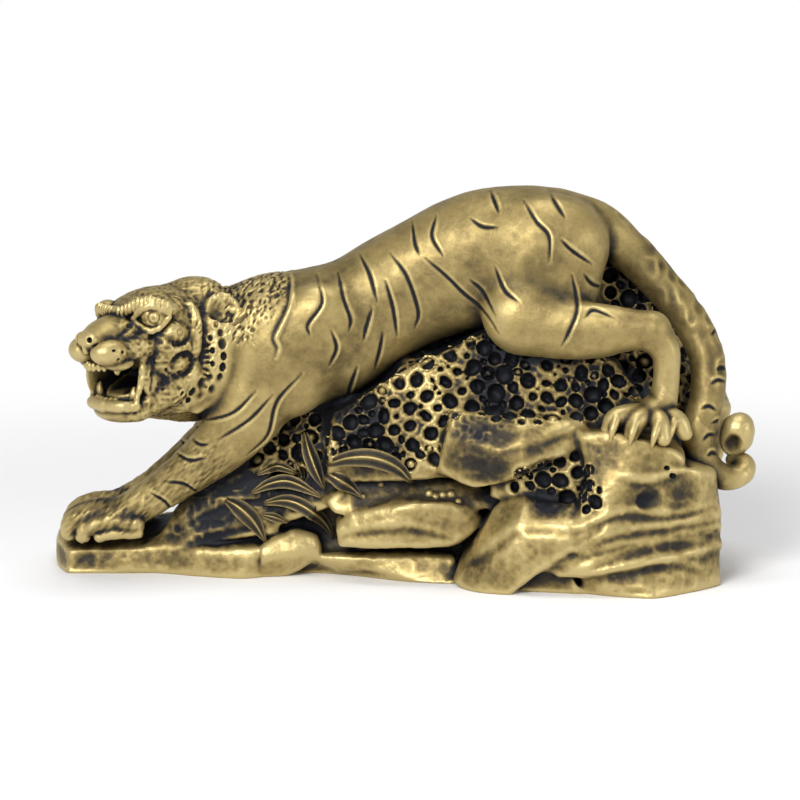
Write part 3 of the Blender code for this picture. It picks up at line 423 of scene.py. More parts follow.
def sculptHead(clay):
    add, cut = clay.add, clay.cut
    add(headEgg(-4, 0, 3.2, (15, 13.6, 12.6)), 3)   # skull
    add(headEgg(1.5, 0, 7.6, (13.0, 13.4, 8.4)), 3)
    add(headEgg(-12, 0, 7.0, (9, 10, 9.5)), 3)   # nape
    add(headEgg(-13.5, 4, 9.2, (8, 9, 8.4)), 3)
    add(headEgg(12, 0, 7.2, (9.5, 7.4, 4.9), pitch=-14), 2.5)   # bridge of the nose
    add(headEgg(19.5, 0, 6.6, (7.5, 5.8, 4.2), pitch=-12), 1.5)
    add(headEgg(25.0, 0, 5.6, (3.4, 4.4, 3.0), pitch=-10), 0.8)
    for s in (1, -1):
        add(headEgg(3, s * 10.5, 0, (9.5, 5.0, 8.5)), 2.5)   # cheek
        add(headEgg(22.6, s * 4.9, 2.3, (6.0, 4.3, 3.9), yaw=-14), 0.7)   # whisker pad
        add(headEgg(15.5, s * 7.4, 2.4, (7.6, 3.7, 3.4), yaw=-24), 1.0)
        add(headEgg(20.5, s * 6.0, -1.2, (4.4, 2.1, 2.0), yaw=-24), 0.6)
        for rows in (((12.5, 3.2, 10.0, 1.3), (17.0, 4.4, 8.3, 1.4), (21.0, 4.6, 6.8, 0.9)),
                     ((11.5, 5.8, 8.2, 1.4), (15.5, 6.6, 6.8, 1.4), (19.5, 6.2, 5.4, 0.8)),
                     ((9.5, 8.4, 6.8, 1.5), (13.0, 8.8, 5.6, 1.4), (16.5, 8.0, 4.6, 0.8)),
                     ((8.5, 9.6, 4.2, 1.2), (12.0, 9.8, 3.6, 1.2), (15.0, 9.2, 2.6, 0.7))):
            add(headTube(*[(f, s * n, u, r) for f, n, u, r in rows]), 0.9)   # snarl
        cut(headTube((20.5, s * 5.6, 5.6, 0.35), (24.0, s * 4.8, 5.4, 0.5), (27.6, s * 3.0, 4.6, 0.4)), 0.4)
        for f, n, u in ((24.5, 8.2, 3.4), (22.0, 9.2, 2.6), (19.6, 9.9, 3.2), (23.2, 8.8, 0.8),
                        (20.6, 9.6, 0.6)):
            cut(headEgg(f, s * n, u, (0.5, 0.9, 0.32)), 0.2)   # roots of the whiskers
    add(headTube((12, 0, -12.2, 6.0), (0, 0, -12.8, 8.5), (-12, 0, -12.5, 12)), 2.0)   # throat
    cut(headEgg(17.0, 0, -7.6, (12.0, 7.2, 3.7)), 0.8)   # open mouth
    add(headEgg(15.2, 0, -15.8, (6.8, 8.2, 3.6)), 1.2)   # chin
    add(headEgg(13.5, -8.6, -6.5, (6.2, 1.0, 7.6)), 0.6)   # far cheek, seen through the mouth
    for s in (1, -1):
        # jaw
        add(headTube((0, s * 11, -8, 5.0), (7, s * 9.2, -11.5, 4.2), (13.5, s * 6.6, -15.0, 3.2)), 2.5)
        add(headEgg(7.6, s * 9.2, -6.0, (7.6, 2.2, 8.0)), 1.0)
        add(headTube((14.4, s * 9.6, 0.4, 1.0), (15.1, s * 9.4, -4, 0.7), (15.9, s * 9.1, -8, 0.7),
                     (17.4, s * 8.4, -13.6, 1.0)), 1.2)   # lip stretched open
        cut(headTube((12.2, s * 11.0, -1.0, 0.4), (12.6, s * 11.0, -5, 0.6), (13.2, s * 10.4, -10, 0.35)),
            0.6)
        add(headTube((17.2, s * 8.2, -13.8, 1.3), (20.4, s * 5.6, -13.6, 1.7), (21.6, 0, -13.6, 1.8)), 0.8)
        for k in range(6):   # puckers of the lower lip
            a = math.radians(8 + 13 * k)
            add(headEgg(14.2 + 8.0 * math.cos(a), s * 8.4 * math.sin(a), -13.2, (0.7, 0.55, 1.0)), 0.4)
        add(headTube((16.2, s * 6.6, -12.8, 1.2), (16.4, s * 6.8, -10.6, 1.0), (16.0, s * 6.9, -8.8, 0.45)),
            0.3)
        add(headTube((20.6, s * 5.2, -2.2, 1.1), (20.7, s * 5.2, -3.4, 0.9), (20.5, s * 5.2, -4.3, 0.5)),
            0.4)
        for k in range(3):   # small teeth
            add(headEgg(21.2 - 0.45 * k, s * (0.75 + 1.45 * k), -12.2, (0.8, 0.74, 1.1)), 0.25)
            add(headEgg(25.4 - 0.7 * k, s * (0.8 + 1.4 * k), -2.0, (0.8, 0.74, 1.3)), 0.25)
    add(headEgg(10.0, 0, -11.9, (7.6, 4.4, 1.3), pitch=3), 0.6)   # tongue
    add(headDisc(27.0, 0, 6.3, (1, 0, 0.35), (1.7, 3.9, 2.0)), 0.6)   # nose
    add(headEgg(27.0, 0, 3.6, (1.4, 0.9, 1.8)), 0.4)
    for n in (-4.2, -1.6, 1.6, 4.2):   # folds of the forehead
        cut(headTube((10.0, n, 15.2, 0.2), (6.5, 1.15 * n, 17.4, 0.4), (2.5, 1.2 * n + 0.6, 18.6, 0.2)), 0.5)
    for s in (1, -1):
        low = 0 if s > 0 else 1.6   # the far side hangs a little lower
        looking = (0.74, 0.67 * s, 0)
        cut(headEgg(28.2, s * 2.5, 6.3, (1.6, 0.8, 0.8), yaw=25), 0.3)   # nostril
        cut(headDisc(12.4, s * 10.4, 10.8 - low / 2, looking, (2.8, 4.8, 3.5)), 0.8)   # eye in its socket
        cut(headEgg(14.6, s * 4.9, 11.0, (2.0, 1.3, 1.2), yaw=25), 0.5)
        add(headDisc(9.4, s * 9.4, 10.8 - low / 2, looking, (3.6, 3.9, 3.5)), 0.15)
        eyeAxis = np.array(looking) @ headAxes
        iris = [onHead(9.4 + 0.74 * out, s * (9.4 + 0.67 * out), 10.8 - low / 2) for out in (3.2, 3.7)]
        cut(ring(iris[0], eyeAxis, 1.6, 0.3), 0.15)
        cut(egg(iris[1], (0.55, 0.5, 0.85)), 0.15)
        # lids
        add(headTube((13.8, s * 5.6, 10.4, 0.6), (13.2, s * 8.0, 13.0 - low, 1.0),
                     (11.2, s * 10.9, 13.9 - 1.6 * low, 1.1), (7.6, s * 13.6, 11.4 - 1.4 * low, 0.7)), 0.5)
        add(headTube((13.8, s * 5.6, 10.0, 0.6), (13.0, s * 8.5, 7.7, 0.9), (11.0, s * 11.2, 7.2, 1.0),
                     (7.6, s * 13.6, 10.6, 0.7)), 0.4)
        cut(headTube((13.0, s * 7.4, 6.4, 0.3), (11.2, s * 10.8, 5.8, 0.5), (8.6, s * 13.2, 7.4, 0.3)), 0.4)
        add(headEgg(6.2, s * 13.0, 12.6 - low, (2.4, 1.6, 1.5)), 0.8)
        for height, back, tip in ((5.6, 0, 14), (-3.2, 0.6, -10)):   # knobs on the cheek
            cut(headEgg(4.9 - back, s * 14.6, height, (4.7, 1.4, 3.7), pitch=tip), 1.2)
            add(headEgg(4.6 - back, s * 12.9, height, (3.9, 2.1, 2.8), pitch=tip), 1.0)
        cut(ring(onHead(4.8, s * 14.9, 5.9), np.array((0.35, 0.93 * s, 0.1)) @ headAxes, 1.0, 0.2), 0.3)
        cut(headTube((9.4, s * 12.4, -2.6, 0.3), (8.8, s * 13.2, -5.2, 0.55), (6.6, s * 14.0, -6.8, 0.55),
                     (4.2, s * 14.8, -6.8, 0.3)), 0.6)
        cut(headTube((0.8, s * 14.2, 13.5, 0.4), (1.2, s * 14.9, 10, 0.7), (0.6, s * 15.3, 5, 0.6),
                     (0.8, s * 15.2, 0, 0.3)), 0.6)
        add(headTube((-2.4, s * 12.0, 12.4 - low, 0.8), (-2.4, s * 14.0, 9.5, 1.2), (-2.0, s * 14.9, 5, 1.3),
                     (-1.4, s * 14.8, 0.0, 0.9)), 1.8)   # bare band behind the cheek
        add(headTube((-10, s * 12.8, 5, 4.2), (-9.0, s * 13.6, -2, 4.8), (-6.0, s * 12.4, -9, 4.8),
                     (-1.5, s * 9.6, -13.6, 4.6), (6, s * 5, -14.6, 3.4)), 2.0)   # ruff
        add(headTube((-12.6, s * 16.2, 9.0 - low, 0.8), (-11.6, s * 17.4, 5, 1.0),
                     (-10.7, s * 17.8, -1.0, 1.1), (-9.4, s * 17.2, -8, 1.1), (-6.6, s * 15.2, -14.4, 1.0),
                     (-3.2, s * 12.0, -18.4, 0.9)), 2.6)
        add(headTube((-15.5, s * 13.4, 7.0 - low, 3.8), (-15.0, s * 14.8, 0, 4.5),
                     (-13.4, s * 14.2, -8, 4.5),
                     (-10.4, s * 11.8, -14.6, 4.0)), 3.0)   # neck behind the ruff
        facing = (0.62, 0.78 * s, 0.08)
        add(headEgg(-12.4, s * 12.4, 9.2 - 2 * low, (3.4, 3.4, 4.6)), 1.6)   # ear
        add(headDisc(-11.9, s * 14.8, 9.8 - 2 * low, facing, (1.8, 5.0, 5.0)), 0.6)
        cut(headDisc(-10.8, s * 16.2, 10.0 - 2 * low, facing, (1.6, 4.3, 4.3)), 0.3)
        rng = np.random.default_rng(17)
        for k in range(14):   # tufts inside the ear
            a, reach = rng.uniform(0, 2 * math.pi), 3.6 * math.sqrt(rng.uniform(0, 1))
            place = onHead(-11.9 + 0.7 * reach * math.cos(a), s * (14.9 - 0.6 * reach * math.cos(a)),
                           10.0 - 2 * low + reach * math.sin(a))
            clay.add(egg(place, rng.uniform(0.35, 0.7, 3)), 0.4)
        if clay.fineness > 1:   # too fine for the coarsest grid
            sculptRuff(clay, s)
    sculptBrow(clay, browSet["near"])
    sculptBrow(clay, browSet["far"])


bodySet = {
    "spine": 6.0,   # y of the middle of the back
    # x, y, height, half height, half width
    "torso": (
        (-66, 2, 63.6, 10.0, 8), (-62, 2.5, 63.6, 15.0, 10.5), (-57, 3.5, 63.4, 17.2, 11.5),
        (-49.2, 4.5, 64.3, 18.2, 13.0), (-40.6, 5.5, 65.6, 19.8, 15.6), (-29.8, 7, 66.6, 20.0, 17.5),
        (-20.3, 8, 68.6, 20.4, 17.5), (-10.9, 8, 73.3, 21.2, 17.0), (-1.1, 8, 80.0, 19.8, 16.5),
        (8.8, 8, 85.6, 19.6, 16.5), (18.8, 7, 89.1, 20.0, 16.5), (28.8, 6, 90.7, 20.0, 17.0),
        (38.7, 5, 92.0, 18.7, 17.0), (47.2, 5, 93.2, 15.6, 15.0), (52.5, 5, 94.6, 11.0, 11.0),
        (55.5, 5, 95.2, 5, 5)),
    # x, distance from the spine, height, radii, tip, seam
    "muscles": (
        (-35, 12.5, 63, (12, 7.0, 17), -25, 5), (-24, 13.0, 74, (9, 5.5, 10), -20, 5),
        (39, 11.0, 88, (17, 9.5, 20), 12, 5), (47, 8.0, 96, (11, 9.5, 11), 0, 4),
        (32, 17.0, 75.5, (9.5, 6.5, 8.0), 20, 5)),
    # x, distance from the spine, height, radius from the side, radius across
    "foreLeg": (
        (-37.5, 12, 60.5, 12.5, 7.5), (-44.6, 12.5, 47.5, 10.3, 7.2), (-52.0, 11, 38.2, 8.2, 6.8),
        (-61.1, 9.5, 30.4, 6.6, 6.0), (-69.9, 8, 23.8, 5.6, 5.4), (-77.5, 7.5, 19.0, 5.2, 5.2),
        (-83.5, 7.5, 16.0, 4.8, 6.0)),
    "shank": (
        (33, 17.5, 74.0, 8.6, 6.0), (44, 19.5, 72.6, 8.4, 6.0), (54, 21, 72.6, 7.8, 5.6),
        (62, 22, 73.0, 6.2, 5.0), (69.0, 22.5, 73.0, 5.2, 4.6)),
    "hock": (
        (69.5, 22.5, 72.6, 5.4, 4.6), (73.2, 22.5, 67, 4.2, 4.2), (73.6, 22.5, 60, 3.7, 3.8),
        (72.6, 22.5, 53, 4.2, 4.4), (69.5, 23.5, 49.9, 4.4, 4.8)),
    # x, y, height, radius
    "tail": (
        (44, 5, 101.8, 8.0), (54, 5, 100.0, 7.0), (62.6, 5, 93.6, 6.2), (73.4, 3, 82.6, 5.5),
        (81.6, 0, 72.6, 5.2), (86.0, -3, 62.3, 5.1), (86.0, -6, 52.7, 5.0), (83.8, -8, 44.4, 4.9),
        (83.6, -9, 37.8, 4.7), (86.5, -10, 32.2, 4.3), (91.6, -10, 29.6, 3.8), (96.0, -9, 30.6, 3.4),
        (96.8, -6, 32.8, 3.1), (94, -3.5, 33.5, 2.6))}


pawSet = {
    "toe": 3.0, "claw": 1.3, "clawLength": 6.8,
    # x, distance from the spine, height, radius
    "foreToes": (
        ((-79, 5.0, 17.5, 4.2), (-89, 4.5, 17.2, 4.2), (-93.8, 4.0, 15.4, 3.9), (-95.4, 4.0, 12.6, 3.0)),
        ((-79, 8.0, 17.0, 4.2), (-89, 7.5, 16.6, 4.2), (-94.2, 7.5, 14.6, 3.75), (-95.8, 7.5, 12.2, 2.7)),
        ((-77, 10.6, 15.2, 3.0), (-85, 10.8, 15.4, 2.8), (-90.6, 10.6, 13.8, 2.6), (-91.8, 10.4, 11.6, 2.2)),
        ((-76, 11.6, 12.6, 1.5), (-83, 12.4, 12.4, 1.5), (-87.0, 12.0, 11.4, 1.4))),
    # x, distance from the spine and height of the joints of the hind foot
    "ankle": (69.5, 23.5, 49.9),
    "knuckles": ((59.8, 27.5, 49.1), (65.2, 28.5, 48.3), (71.4, 28.5, 47.7), (76.0, 26.0, 48.1))}


def sculptPaws(clay, spine, side):
    for toe in pawSet["foreToes"]:
        clay.add(tube([(x, spine + side * out, z, r) for x, out, z, r in toe]), 0.8)
    toe, claw = pawSet["toe"], pawSet["claw"]
    ankle = np.array(pawSet["ankle"])
    ankle[1] = spine + side * ankle[1]
    for x, out, z in pawSet["knuckles"]:
        knuckle = np.array((x, spine + side * out, z))
        along = (knuckle - ankle) / np.linalg.norm(knuckle - ankle)
        end = knuckle + along * toe - (0, 0, toe)
        clay.add(tube([(*ankle, toe), (*knuckle, toe), (*end, 0.7 * toe)]), 0.6)
        root = knuckle + np.array((-0.2, 0.8 * side, 0)) * toe
        down = np.array((-0.25, 0.25 * side, -0.9))
        tip = root + down / np.linalg.norm(down) * pawSet["clawLength"]
        bend = (root + tip) / 2 + np.array((-0.2, 0.8 * side, 0)) * claw
        clay.add(tube([(*root, claw), (*bend, 0.8 * claw), (*tip, 0.3 * claw)]), 0.25)


def sculptBody(clay):
    spine = bodySet["spine"]
    clay.add(barrel(bodySet["torso"]))
    for side in (-1, 1):
        def beside(rows):
            return [(row[0], spine + side * row[1]) + tuple(row[2:]) for row in rows]
        for x, out, z, radii, tip, seam in bodySet["muscles"]:
            clay.add(egg((x, spine + side * out, z), radii, tipped(tip)), seam)
        clay.add(tube(beside(bodySet["foreLeg"])), 2.5)
        clay.add(tube(beside(bodySet["shank"])), 4)
        clay.add(tube(beside(bodySet["hock"])), 1.5)
        sculptPaws(clay, spine, side)
    clay.add(tube(bodySet["tail"], 5), 2.0)


rockSet = {
    "edge": 1.5,   # how far the edges of the front rocks are rounded
    # x and height of a notch and of the droplets
    "notch": ((73.4, 35.4), (74.8, 33.4)),
    "drops": ((-6.6, 27.8), (7.0, 25.6), (8.9, 24.8), (10.9, 25.2), (13.2, 25.4), (-11.8, 24.6),
              (15.4, 23.6)),
    # middle, radii, seed, seam
    "boulders": (
        ((-84, 20, 3.5), (15, 14, 7.0), 3, 3), ((-66, 17, 3.5), (17, 17, 7.0), 5, 3),
        ((-48, 16, 4), (18, 19, 8.0), 7, 3), ((-33, 15, 6), (18, 20, 10), 9, 3),
        ((-30, 15, 22), (18, 17, 17), 53, 4), ((-10, 14, 26), (24, 20, 24), 11, 4),
        ((12, 14, 36), (30, 20, 33), 13, 4), ((42, 15, 34), (36, 19, 36), 17, 4),
        ((60, 18, 62), (20, 13, 33), 19, 4), ((72, 14, 36), (18, 18, 30), 23, 4),
        ((60, 8, 16), (30, 26, 22), 43, 4)),
    # corners of each front rock, its depth and its seam
    "crags": (
        (((-97, 8, -2), (-97, 8, 5), (-22, 4, 15), (20, -8, -2), (20, -8, 8), (62, -8, 15), (88, 0, -2),
          (88, 0, 5)), 25, 1.7),
        (((-100.5, 8, 9), (-99.5, 10, 9.5), (-96.5, -1, 7.5), (-86, 1, 7.5), (-100.5, 8, -2), (-97, -3, -2),
          (-78, 1, -2), (-73, 0, 7.5), (-68.5, -2, -2), (-67, -1, 8), (-69, 10, 10.5), (-97, 14, 11)), 22,
         1.7),
        (((-73.5, 0, 8), (-70, -2, -2), (-56.5, -8, -2), (-46, -10, -2), (-40.5, -7, -2), (-40.5, -8, 9),
          (-49.5, -8, 8.5), (-59.5, -5, 8), (-47, 4, 11), (-70.5, 6, 10.5)), 30, 1.7),
        (((-40.5, -10, 6.5), (-31, -5, 14), (-24.5, -6, 12), (-23.5, -7, 7), (-27, -6, 3), (-37, -6, -2),
          (-40.5, -6, -2), (-40.5, -8, 9.5)), 20, 1.5),
        (((-28.5, -5, 5.5), (-19.5, -8, 7), (-7, -10, 7.5), (9, -11, 8), (14.5, -12, 7), (14.5, -18, -2),
          (9, -13, -2), (-8, 0, -2), (-18.5, 4, -2), (-26, 4, -2)), 24, 1.5),
        (((-19, -14, 17), (-15.5, -15, 20), (-2, -16, 24.5), (-0.5, -20, 23), (7, -19, 24), (15, -17, 23.5),
          (21, -14, 21), (22.5, -15, 18), (18.5, -18, 13.5), (13.5, -17, 10.5), (7, -19, 10.5),
          (-5.5, -19, 11), (-18, -15, 10), (-19, -15, 12.5)), 24, 1.3),
        (((-22.5, -12, 23), (-16.5, -10, 27.5), (4.5, -10, 29.5), (18.5, -11, 28.5), (27, -13, 26),
          (28, -15, 22), (21, -15, 20.5), (-1, -15, 23.5), (-19.5, -14, 19.5)), 24, 1.5),
        (((13.5, -18, 50), (21.5, -20, 46), (31.5, -22, 46), (41, -22, 47), (50, -19, 48), (51.5, -20, 44.5),
          (48, -23, 39.5), (34.5, -26, 35.5), (25.5, -25, 29.5), (18.5, -22, 29), (9.5, -18, 33),
          (11, -21, 42), (26.5, -27, 40), (39.5, -26, 42.5)), 26, 1.3),
        (((26, -19, 37), (34, -22, 38), (50, -21, 40), (56, -23, 27), (48, -23, 22), (33, -21, 24),
          (24, -18, 25)), 24, 1.7),
        (((48.5, -22, 44.5), (58, -26, 45.5), (66.5, -27, 42.5), (75.5, -26, 41), (79, -24, 38),
          (78, -25, 34), (61.5, -30, 31.5), (54.5, -30, 25), (51.5, -27, 31), (49.5, -25, 38.5)), 40, 1.9),
        (((52, -26, 34.5), (61.5, -30, 32.5), (80, -25, 35.5), (88, -18, 33), (89.5, -17, 24),
          (89, -19, 17.5), (76, -27, 17), (62, -32, 16), (50, -33, 12.5), (46, -32.5, 14), (53.5, -30, 24)),
         44, 1.5),
        (((26, -22, 23.5), (32.5, -22, 27), (48, -24, 24.5), (56.5, -30, 23.5), (54.5, -32, 20),
          (46.5, -33, 18.5), (32.5, -31, 18.5), (27, -29, 13), (18.5, -24, 6.5), (13.5, -19, 1.5),
          (20.5, -28, -2), (28, -30, -2), (35, -32, 9), (43.5, -33, 13)), 30, 1.5),
        (((45, -31.5, 13), (62, -30.5, 15), (76, -26, 16.5), (89.5, -18, 17), (89.5, -18, 11), (80, -26, 11),
          (66, -34, 9.5), (54, -34.5, 6.5), (44, -31, 4.5), (40, -29, 7)), 40, 3.3),
        (((29, -26, 5), (36, -28, 9), (46, -30, 8), (50, -29, -2), (30, -25, -2)), 30, 1.5),
        (((50, -30, 6), (66, -32, 9), (80, -25, 11), (89.5, -17.5, 12), (90, -17, -2), (84.5, -24, -2),
          (78, -29, -2), (70.5, -36, -2), (59, -32, -2), (50, -27, -2)), 46, 3.3),
        (((-45, 2, 18), (-40, 3, 36), (-28, 2, 50), (-14, 0, 58), (-16, -6, 30), (-22, -8, 20),
          (-42, -2, 12), (-34, -4, 22)), 26, 2.2),
        (((-73, 2, 6), (-70, 1, 11), (-61, 0, 23), (-52, 0, 32), (-43, 0, 41), (-36, 0, 46), (-36, -4, 12),
          (-50, -5, 10), (-62, -3, 9)), 16, 2.2),
        (((-21, -8, 46.7), (1.4, -9, 60.6), (14.4, -9, 65.7), (24.8, -9, 71.4), (42, -10, 69), (60, -10, 62),
          (-21, -12, 40.3), (-22, -12, 28), (-4, -14, 36), (8, -15, 30), (14, -17, 40), (40, -17, 46),
          (58.3, -15, 46), (74, -10, 43)), 26, 2.7))}


def sculptRocks(clay):
    for middle, radii, seed, seam in rockSet["boulders"]:
        clay.add(boulder(middle, radii, seed), seam)
    for corners, depth, seam in rockSet["crags"]:
        clay.add(crag(corners, depth, rockSet["edge"]), seam)
    clay.add(egg((94.5, -4, 41), (4.8, 4.5, 6.5), tipped(20)), 1)   # knob behind the tail
    clay.cut(egg((91.8, -9.2, 36.6), (3.8, 3.8, 5.6), tipped(30)), 0.6)
    clay.cut(egg((72.5, -29.5, 28.5), (7.5, 2.6, 3.6), tipped(-22)), 1.5)   # hollow in the right rock
    for x, z in rockSet["notch"]:
        clay.cut(egg((x, clay.frontAt(x, z), z), (1.0, 1.6, 0.7), tipped(25)), 0.3)
    for x, z in rockSet["drops"]:
        y = clay.frontAt(x, z)
        clay.add(egg((x, y, z), (0.9, 0.9, 0.7)), 0.4)
    sculptPits(clay)
    z = clay.low[2] + clay.cell * np.arange(clay.size[2])
    clay.field = np.maximum(clay.field, -z.reshape(1, 1, -1).astype(np.float32))   # flat underside


pitSet = {
    # radius of the pits tried in turn, and how many tries for each 3000 square mm
    "tries": ((2.2, 260), (1.85, 900), (1.5, 2400), (1.15, 3600), (0.8, 3000)),
    "wall": 0.3, "rim": 0.26, "beads": 0.16, "seed": 8,
    # outlines of the pitted fields, as x and height: under the belly, behind the leaves, beside the foot,
    # behind the rump
    "fields": (
        ((-23, 41), (-18, 45), (-12, 51), (-3, 57), (2, 62), (8, 67), (16, 70), (25, 72), (29, 69), (35, 67),
         (45, 66), (58, 65), (72, 66), (73, 60), (71, 54), (64, 54), (59, 52), (57, 49), (54, 46), (49, 47),
         (41, 48), (33, 47), (26, 48), (19, 50), (13, 49), (11, 43), (10, 36), (7, 34), (1, 32), (-3, 36),
         (-11, 38), (-17, 38), (-23, 36)),
        ((-42, 30), (-43, 39), (-36, 44), (-28, 47), (-24, 44), (-24, 36), (-27, 30), (-34, 27)),
        ((29, 29), (32, 34), (39, 36), (45, 38), (48, 39), (52, 34), (56, 27), (54, 23), (49, 25), (41, 28),
         (33, 28)),
        ((54, 95), (62, 95), (70, 90), (77, 81), (82, 73), (86, 65), (87, 58), (85, 50), (82, 44), (77, 43),
         (74, 49), (77, 56), (78, 68), (74, 74), (67, 75), (60, 76), (57, 82)))}


def insideOutline(x, z, outline):
    inside = False
    for (ax, az), (bx, bz) in zip(outline, outline[1:] + outline[:1]):
        if (az > z) != (bz > z) and x < ax + (z - az) * (bx - ax) / (bz - az):
            inside = not inside
    return inside


# each pit with its place, the way it faces and its radius, no two closer than a wall
def pitPlaces(clay):
    rng = np.random.default_rng(pitSet["seed"])
    found = []
    for outline in pitSet["fields"]:
        low, high = np.min(outline, axis=0), np.max(outline, axis=0)
        share = (high - low).prod() / 3000
        for side in (-1, 1):
            taken = np.zeros((0, 4))
            for radius, tries in pitSet["tries"]:
                for _ in range(int(tries * share) + 5):
                    x, z = rng.uniform(low, high)
                    r = radius * rng.uniform(0.88, 1.12)
                    if not insideOutline(x, z, outline):
                        continue
                    y = clay.frontAt(x, z, side)
                    if y is None:
                        continue
                    place = np.array((x, y, z))
                    if len(taken):
                        gaps = np.linalg.norm(taken[:, :3] - place, axis=1) - taken[:, 3] - r
                        if gaps.min() < pitSet["wall"] * rng.uniform(0.2, 1.6):
                            continue
                    slope = clay.slope(place[None])[0]
                    facing = slope / max(np.linalg.norm(slope), 1e-6)
                    if facing[1] * side < 0.1:
                        continue
                    taken = np.vstack([taken, (*place, r)])
                    found.append((place, facing, r))
    return found


def sculptPits(clay):
    rng = np.random.default_rng(pitSet["seed"] + 1)
    pits = pitPlaces(clay)
    print(len(pits), "pits")
    for place, facing, r in pits:
        clay.add(ring(place, facing, r + 0.1, pitSet["rim"]), 0.5)
    for place, facing, r in pits:
        across = np.cross(facing, (rng.uniform(-1, 1), 0, rng.uniform(-1, 1)))
        across /= np.linalg.norm(across)
        axes = np.stack([facing, across, np.cross(facing, across)])
        radii = (0.9 * r + 0.6, r * rng.uniform(0.8, 1.05), r * rng.uniform(0.95, 1.2))
        clay.cut(egg(place - facing * 0.3, radii, axes), 0.3)
        if r > 1.0 and rng.uniform() < pitSet["beads"]:
            clay.add(egg(place - facing * 0.55 * r, (0.62 * r,) * 3), 0.2)


leafSet = {
    "thick": 0.55, "along": 26, "across": 12, "stand": 1.0,
    # height and width of the midrib, height, place and width of the edge, depth of the dish, and the bow
    "rib": (0.55, 0.16), "edge": (0.22, 0.94, 0.08), "dish": 1.5, "bow": 0.35,
    # stain everywhere, on the backs, taken off the rib and the edge, and added in the dish
    "stain": (0.28, 0.6, 0.6, 1.2, 1.1),
    # x, height, how far it lifts off the rock, and half width along each leaf
    "blades": (
        ((-22, 34, 0.6, 0.9), (-16, 36.2, 1.6, 2.2), (-9, 36.6, 2.2, 2.7), (-2, 34.0, 1.8, 2.2),
         (2.8, 28.6, 0.6, 0.3)),
        ((-28.5, 41, 0.4, 0.9), (-27, 36, 1.4, 2.1), (-25, 31, 1.4, 2.0), (-22.6, 25.6, 0.3, 0.3)),
        ((-21.5, 31.4, 0.6, 1.4), (-17, 29, 1.4, 2.4), (-12, 24.8, 0.3, 0.3)),
        ((-43.5, 24.0, 0.6, 0.5), (-38, 26.9, 1.4, 1.7), (-32, 27.4, 1.6, 2.0), (-23.2, 23.4, 0.3, 0.3)),
        ((-40, 21.2, 0.6, 0.6), (-33, 22.2, 1.6, 2.0), (-26.5, 19.6, 1.6, 2.1), (-22.5, 15, 1.0, 1.5),
         (-20.3, 10.3, 0.2, 0.3)),
        ((-51, 22, 0.6, 0.9), (-47, 20, 1.6, 2.5), (-43, 16.2, 1.4, 2.4), (-39.4, 10.0, 0.2, 0.3)),
        ((-40.5, 17.8, 0.4, 0.7), (-36.8, 17.2, 1.0, 1.3), (-33, 15.6, 0.2, 0.3)),
        ((-42, 29.4, 0.4, 0.6), (-36, 31.4, 1.0, 1.4), (-29, 29.2, 0.2, 0.3)),
        ((-31, 33, 0.4, 0.6), (-29.5, 29.6, 0.8, 1.2), (-29.2, 26.2, 0.2, 0.3)))}


# a blade with a raised midrib and edges, dished between them
def leafMesh(clay, rows):
    line = curve(rows, leafSet["along"] // (len(rows) - 1) + 1)
    spine = []
    for x, z in line[:, :2]:
        y = clay.frontAt(x, z)
        spine.append((x, 0.0 if y is None else y, z))
    spine = np.array(spine)
    for _ in range(14):   # the blade spans the dips of the rock behind it
        spine[1:-1, 1] = np.minimum(spine[1:-1, 1], (spine[:-2, 1] + spine[2:, 1]) / 2)
    spine[:, 1] -= line[:, 2] + leafSet["stand"]
    tangent = np.gradient(spine, axis=0)
    tangent /= np.linalg.norm(tangent, axis=1)[:, None]
    across = np.cross(tangent, (0, -1.0, 0.35))
    across /= np.linalg.norm(across, axis=1)[:, None]
    outwards = np.cross(across, tangent)
    outwards *= np.sign(-outwards[:, 1:2])
    t = np.linspace(-1, 1, leafSet["across"] + 1)
    ribHeight, ribWidth = leafSet["rib"]
    edgeHeight, edgeAt, edgeWidth = leafSet["edge"]
    plain, backStain, ribStain, edgeStain, dishStain = leafSet["stain"]
    tops, stain = [], []
    for i in range(len(spine)):
        half = max(line[i, 3], 0.25)
        share = min(1, half / 1.6)
        rib = ribHeight * share * np.exp(-(t / ribWidth) ** 2)
        dish = -leafSet["dish"] * share * (1 - np.abs(t)) * np.abs(t)
        edge = edgeHeight * share * np.exp(-((np.abs(t) - edgeAt) / edgeWidth) ** 2)
        bow = -leafSet["bow"] * half * t ** 2
        height = rib + dish + edge + bow
        tops.append(spine[i] + across[i] * (t * half)[:, None] + outwards[i] * height[:, None])
        stain.append(plain - ribStain * rib - edgeStain * edge + dishStain * np.abs(dish))
    tops = np.array(tops)
    backs = tops - outwards[:, None] * leafSet["thick"] * np.clip(1.25 - np.abs(t), 0.3, 1)[None, :, None]
    steps, columns = tops.shape[:2]
    behind = steps * columns
    points = np.concatenate([tops.reshape(-1, 3), backs.reshape(-1, 3)])
    stain = np.concatenate([np.array(stain).ravel(), np.full(behind, backStain)])
    faces = []
    for i in range(steps - 1):
        for j in range(columns - 1):
            a = i * columns + j
            corners = (a, a + 1, a + columns + 1, a + columns)
            faces += [corners, tuple(behind + k for k in reversed(corners))]
    rim = list(range(columns)) + [i * columns + columns - 1 for i in range(1, steps)]
    rim += [(steps - 1) * columns + j for j in range(columns - 2, -1, -1)]
    rim += [i * columns for i in range(steps - 2, 0, -1)]
    for a, b in zip(rim, rim[1:] + rim[:1]):
        faces.append((b, a, behind + a, behind + b))
    return points, np.array(faces), stain


wholeLow, wholeHigh = (-106, -44, -4), (106, 46, 120)


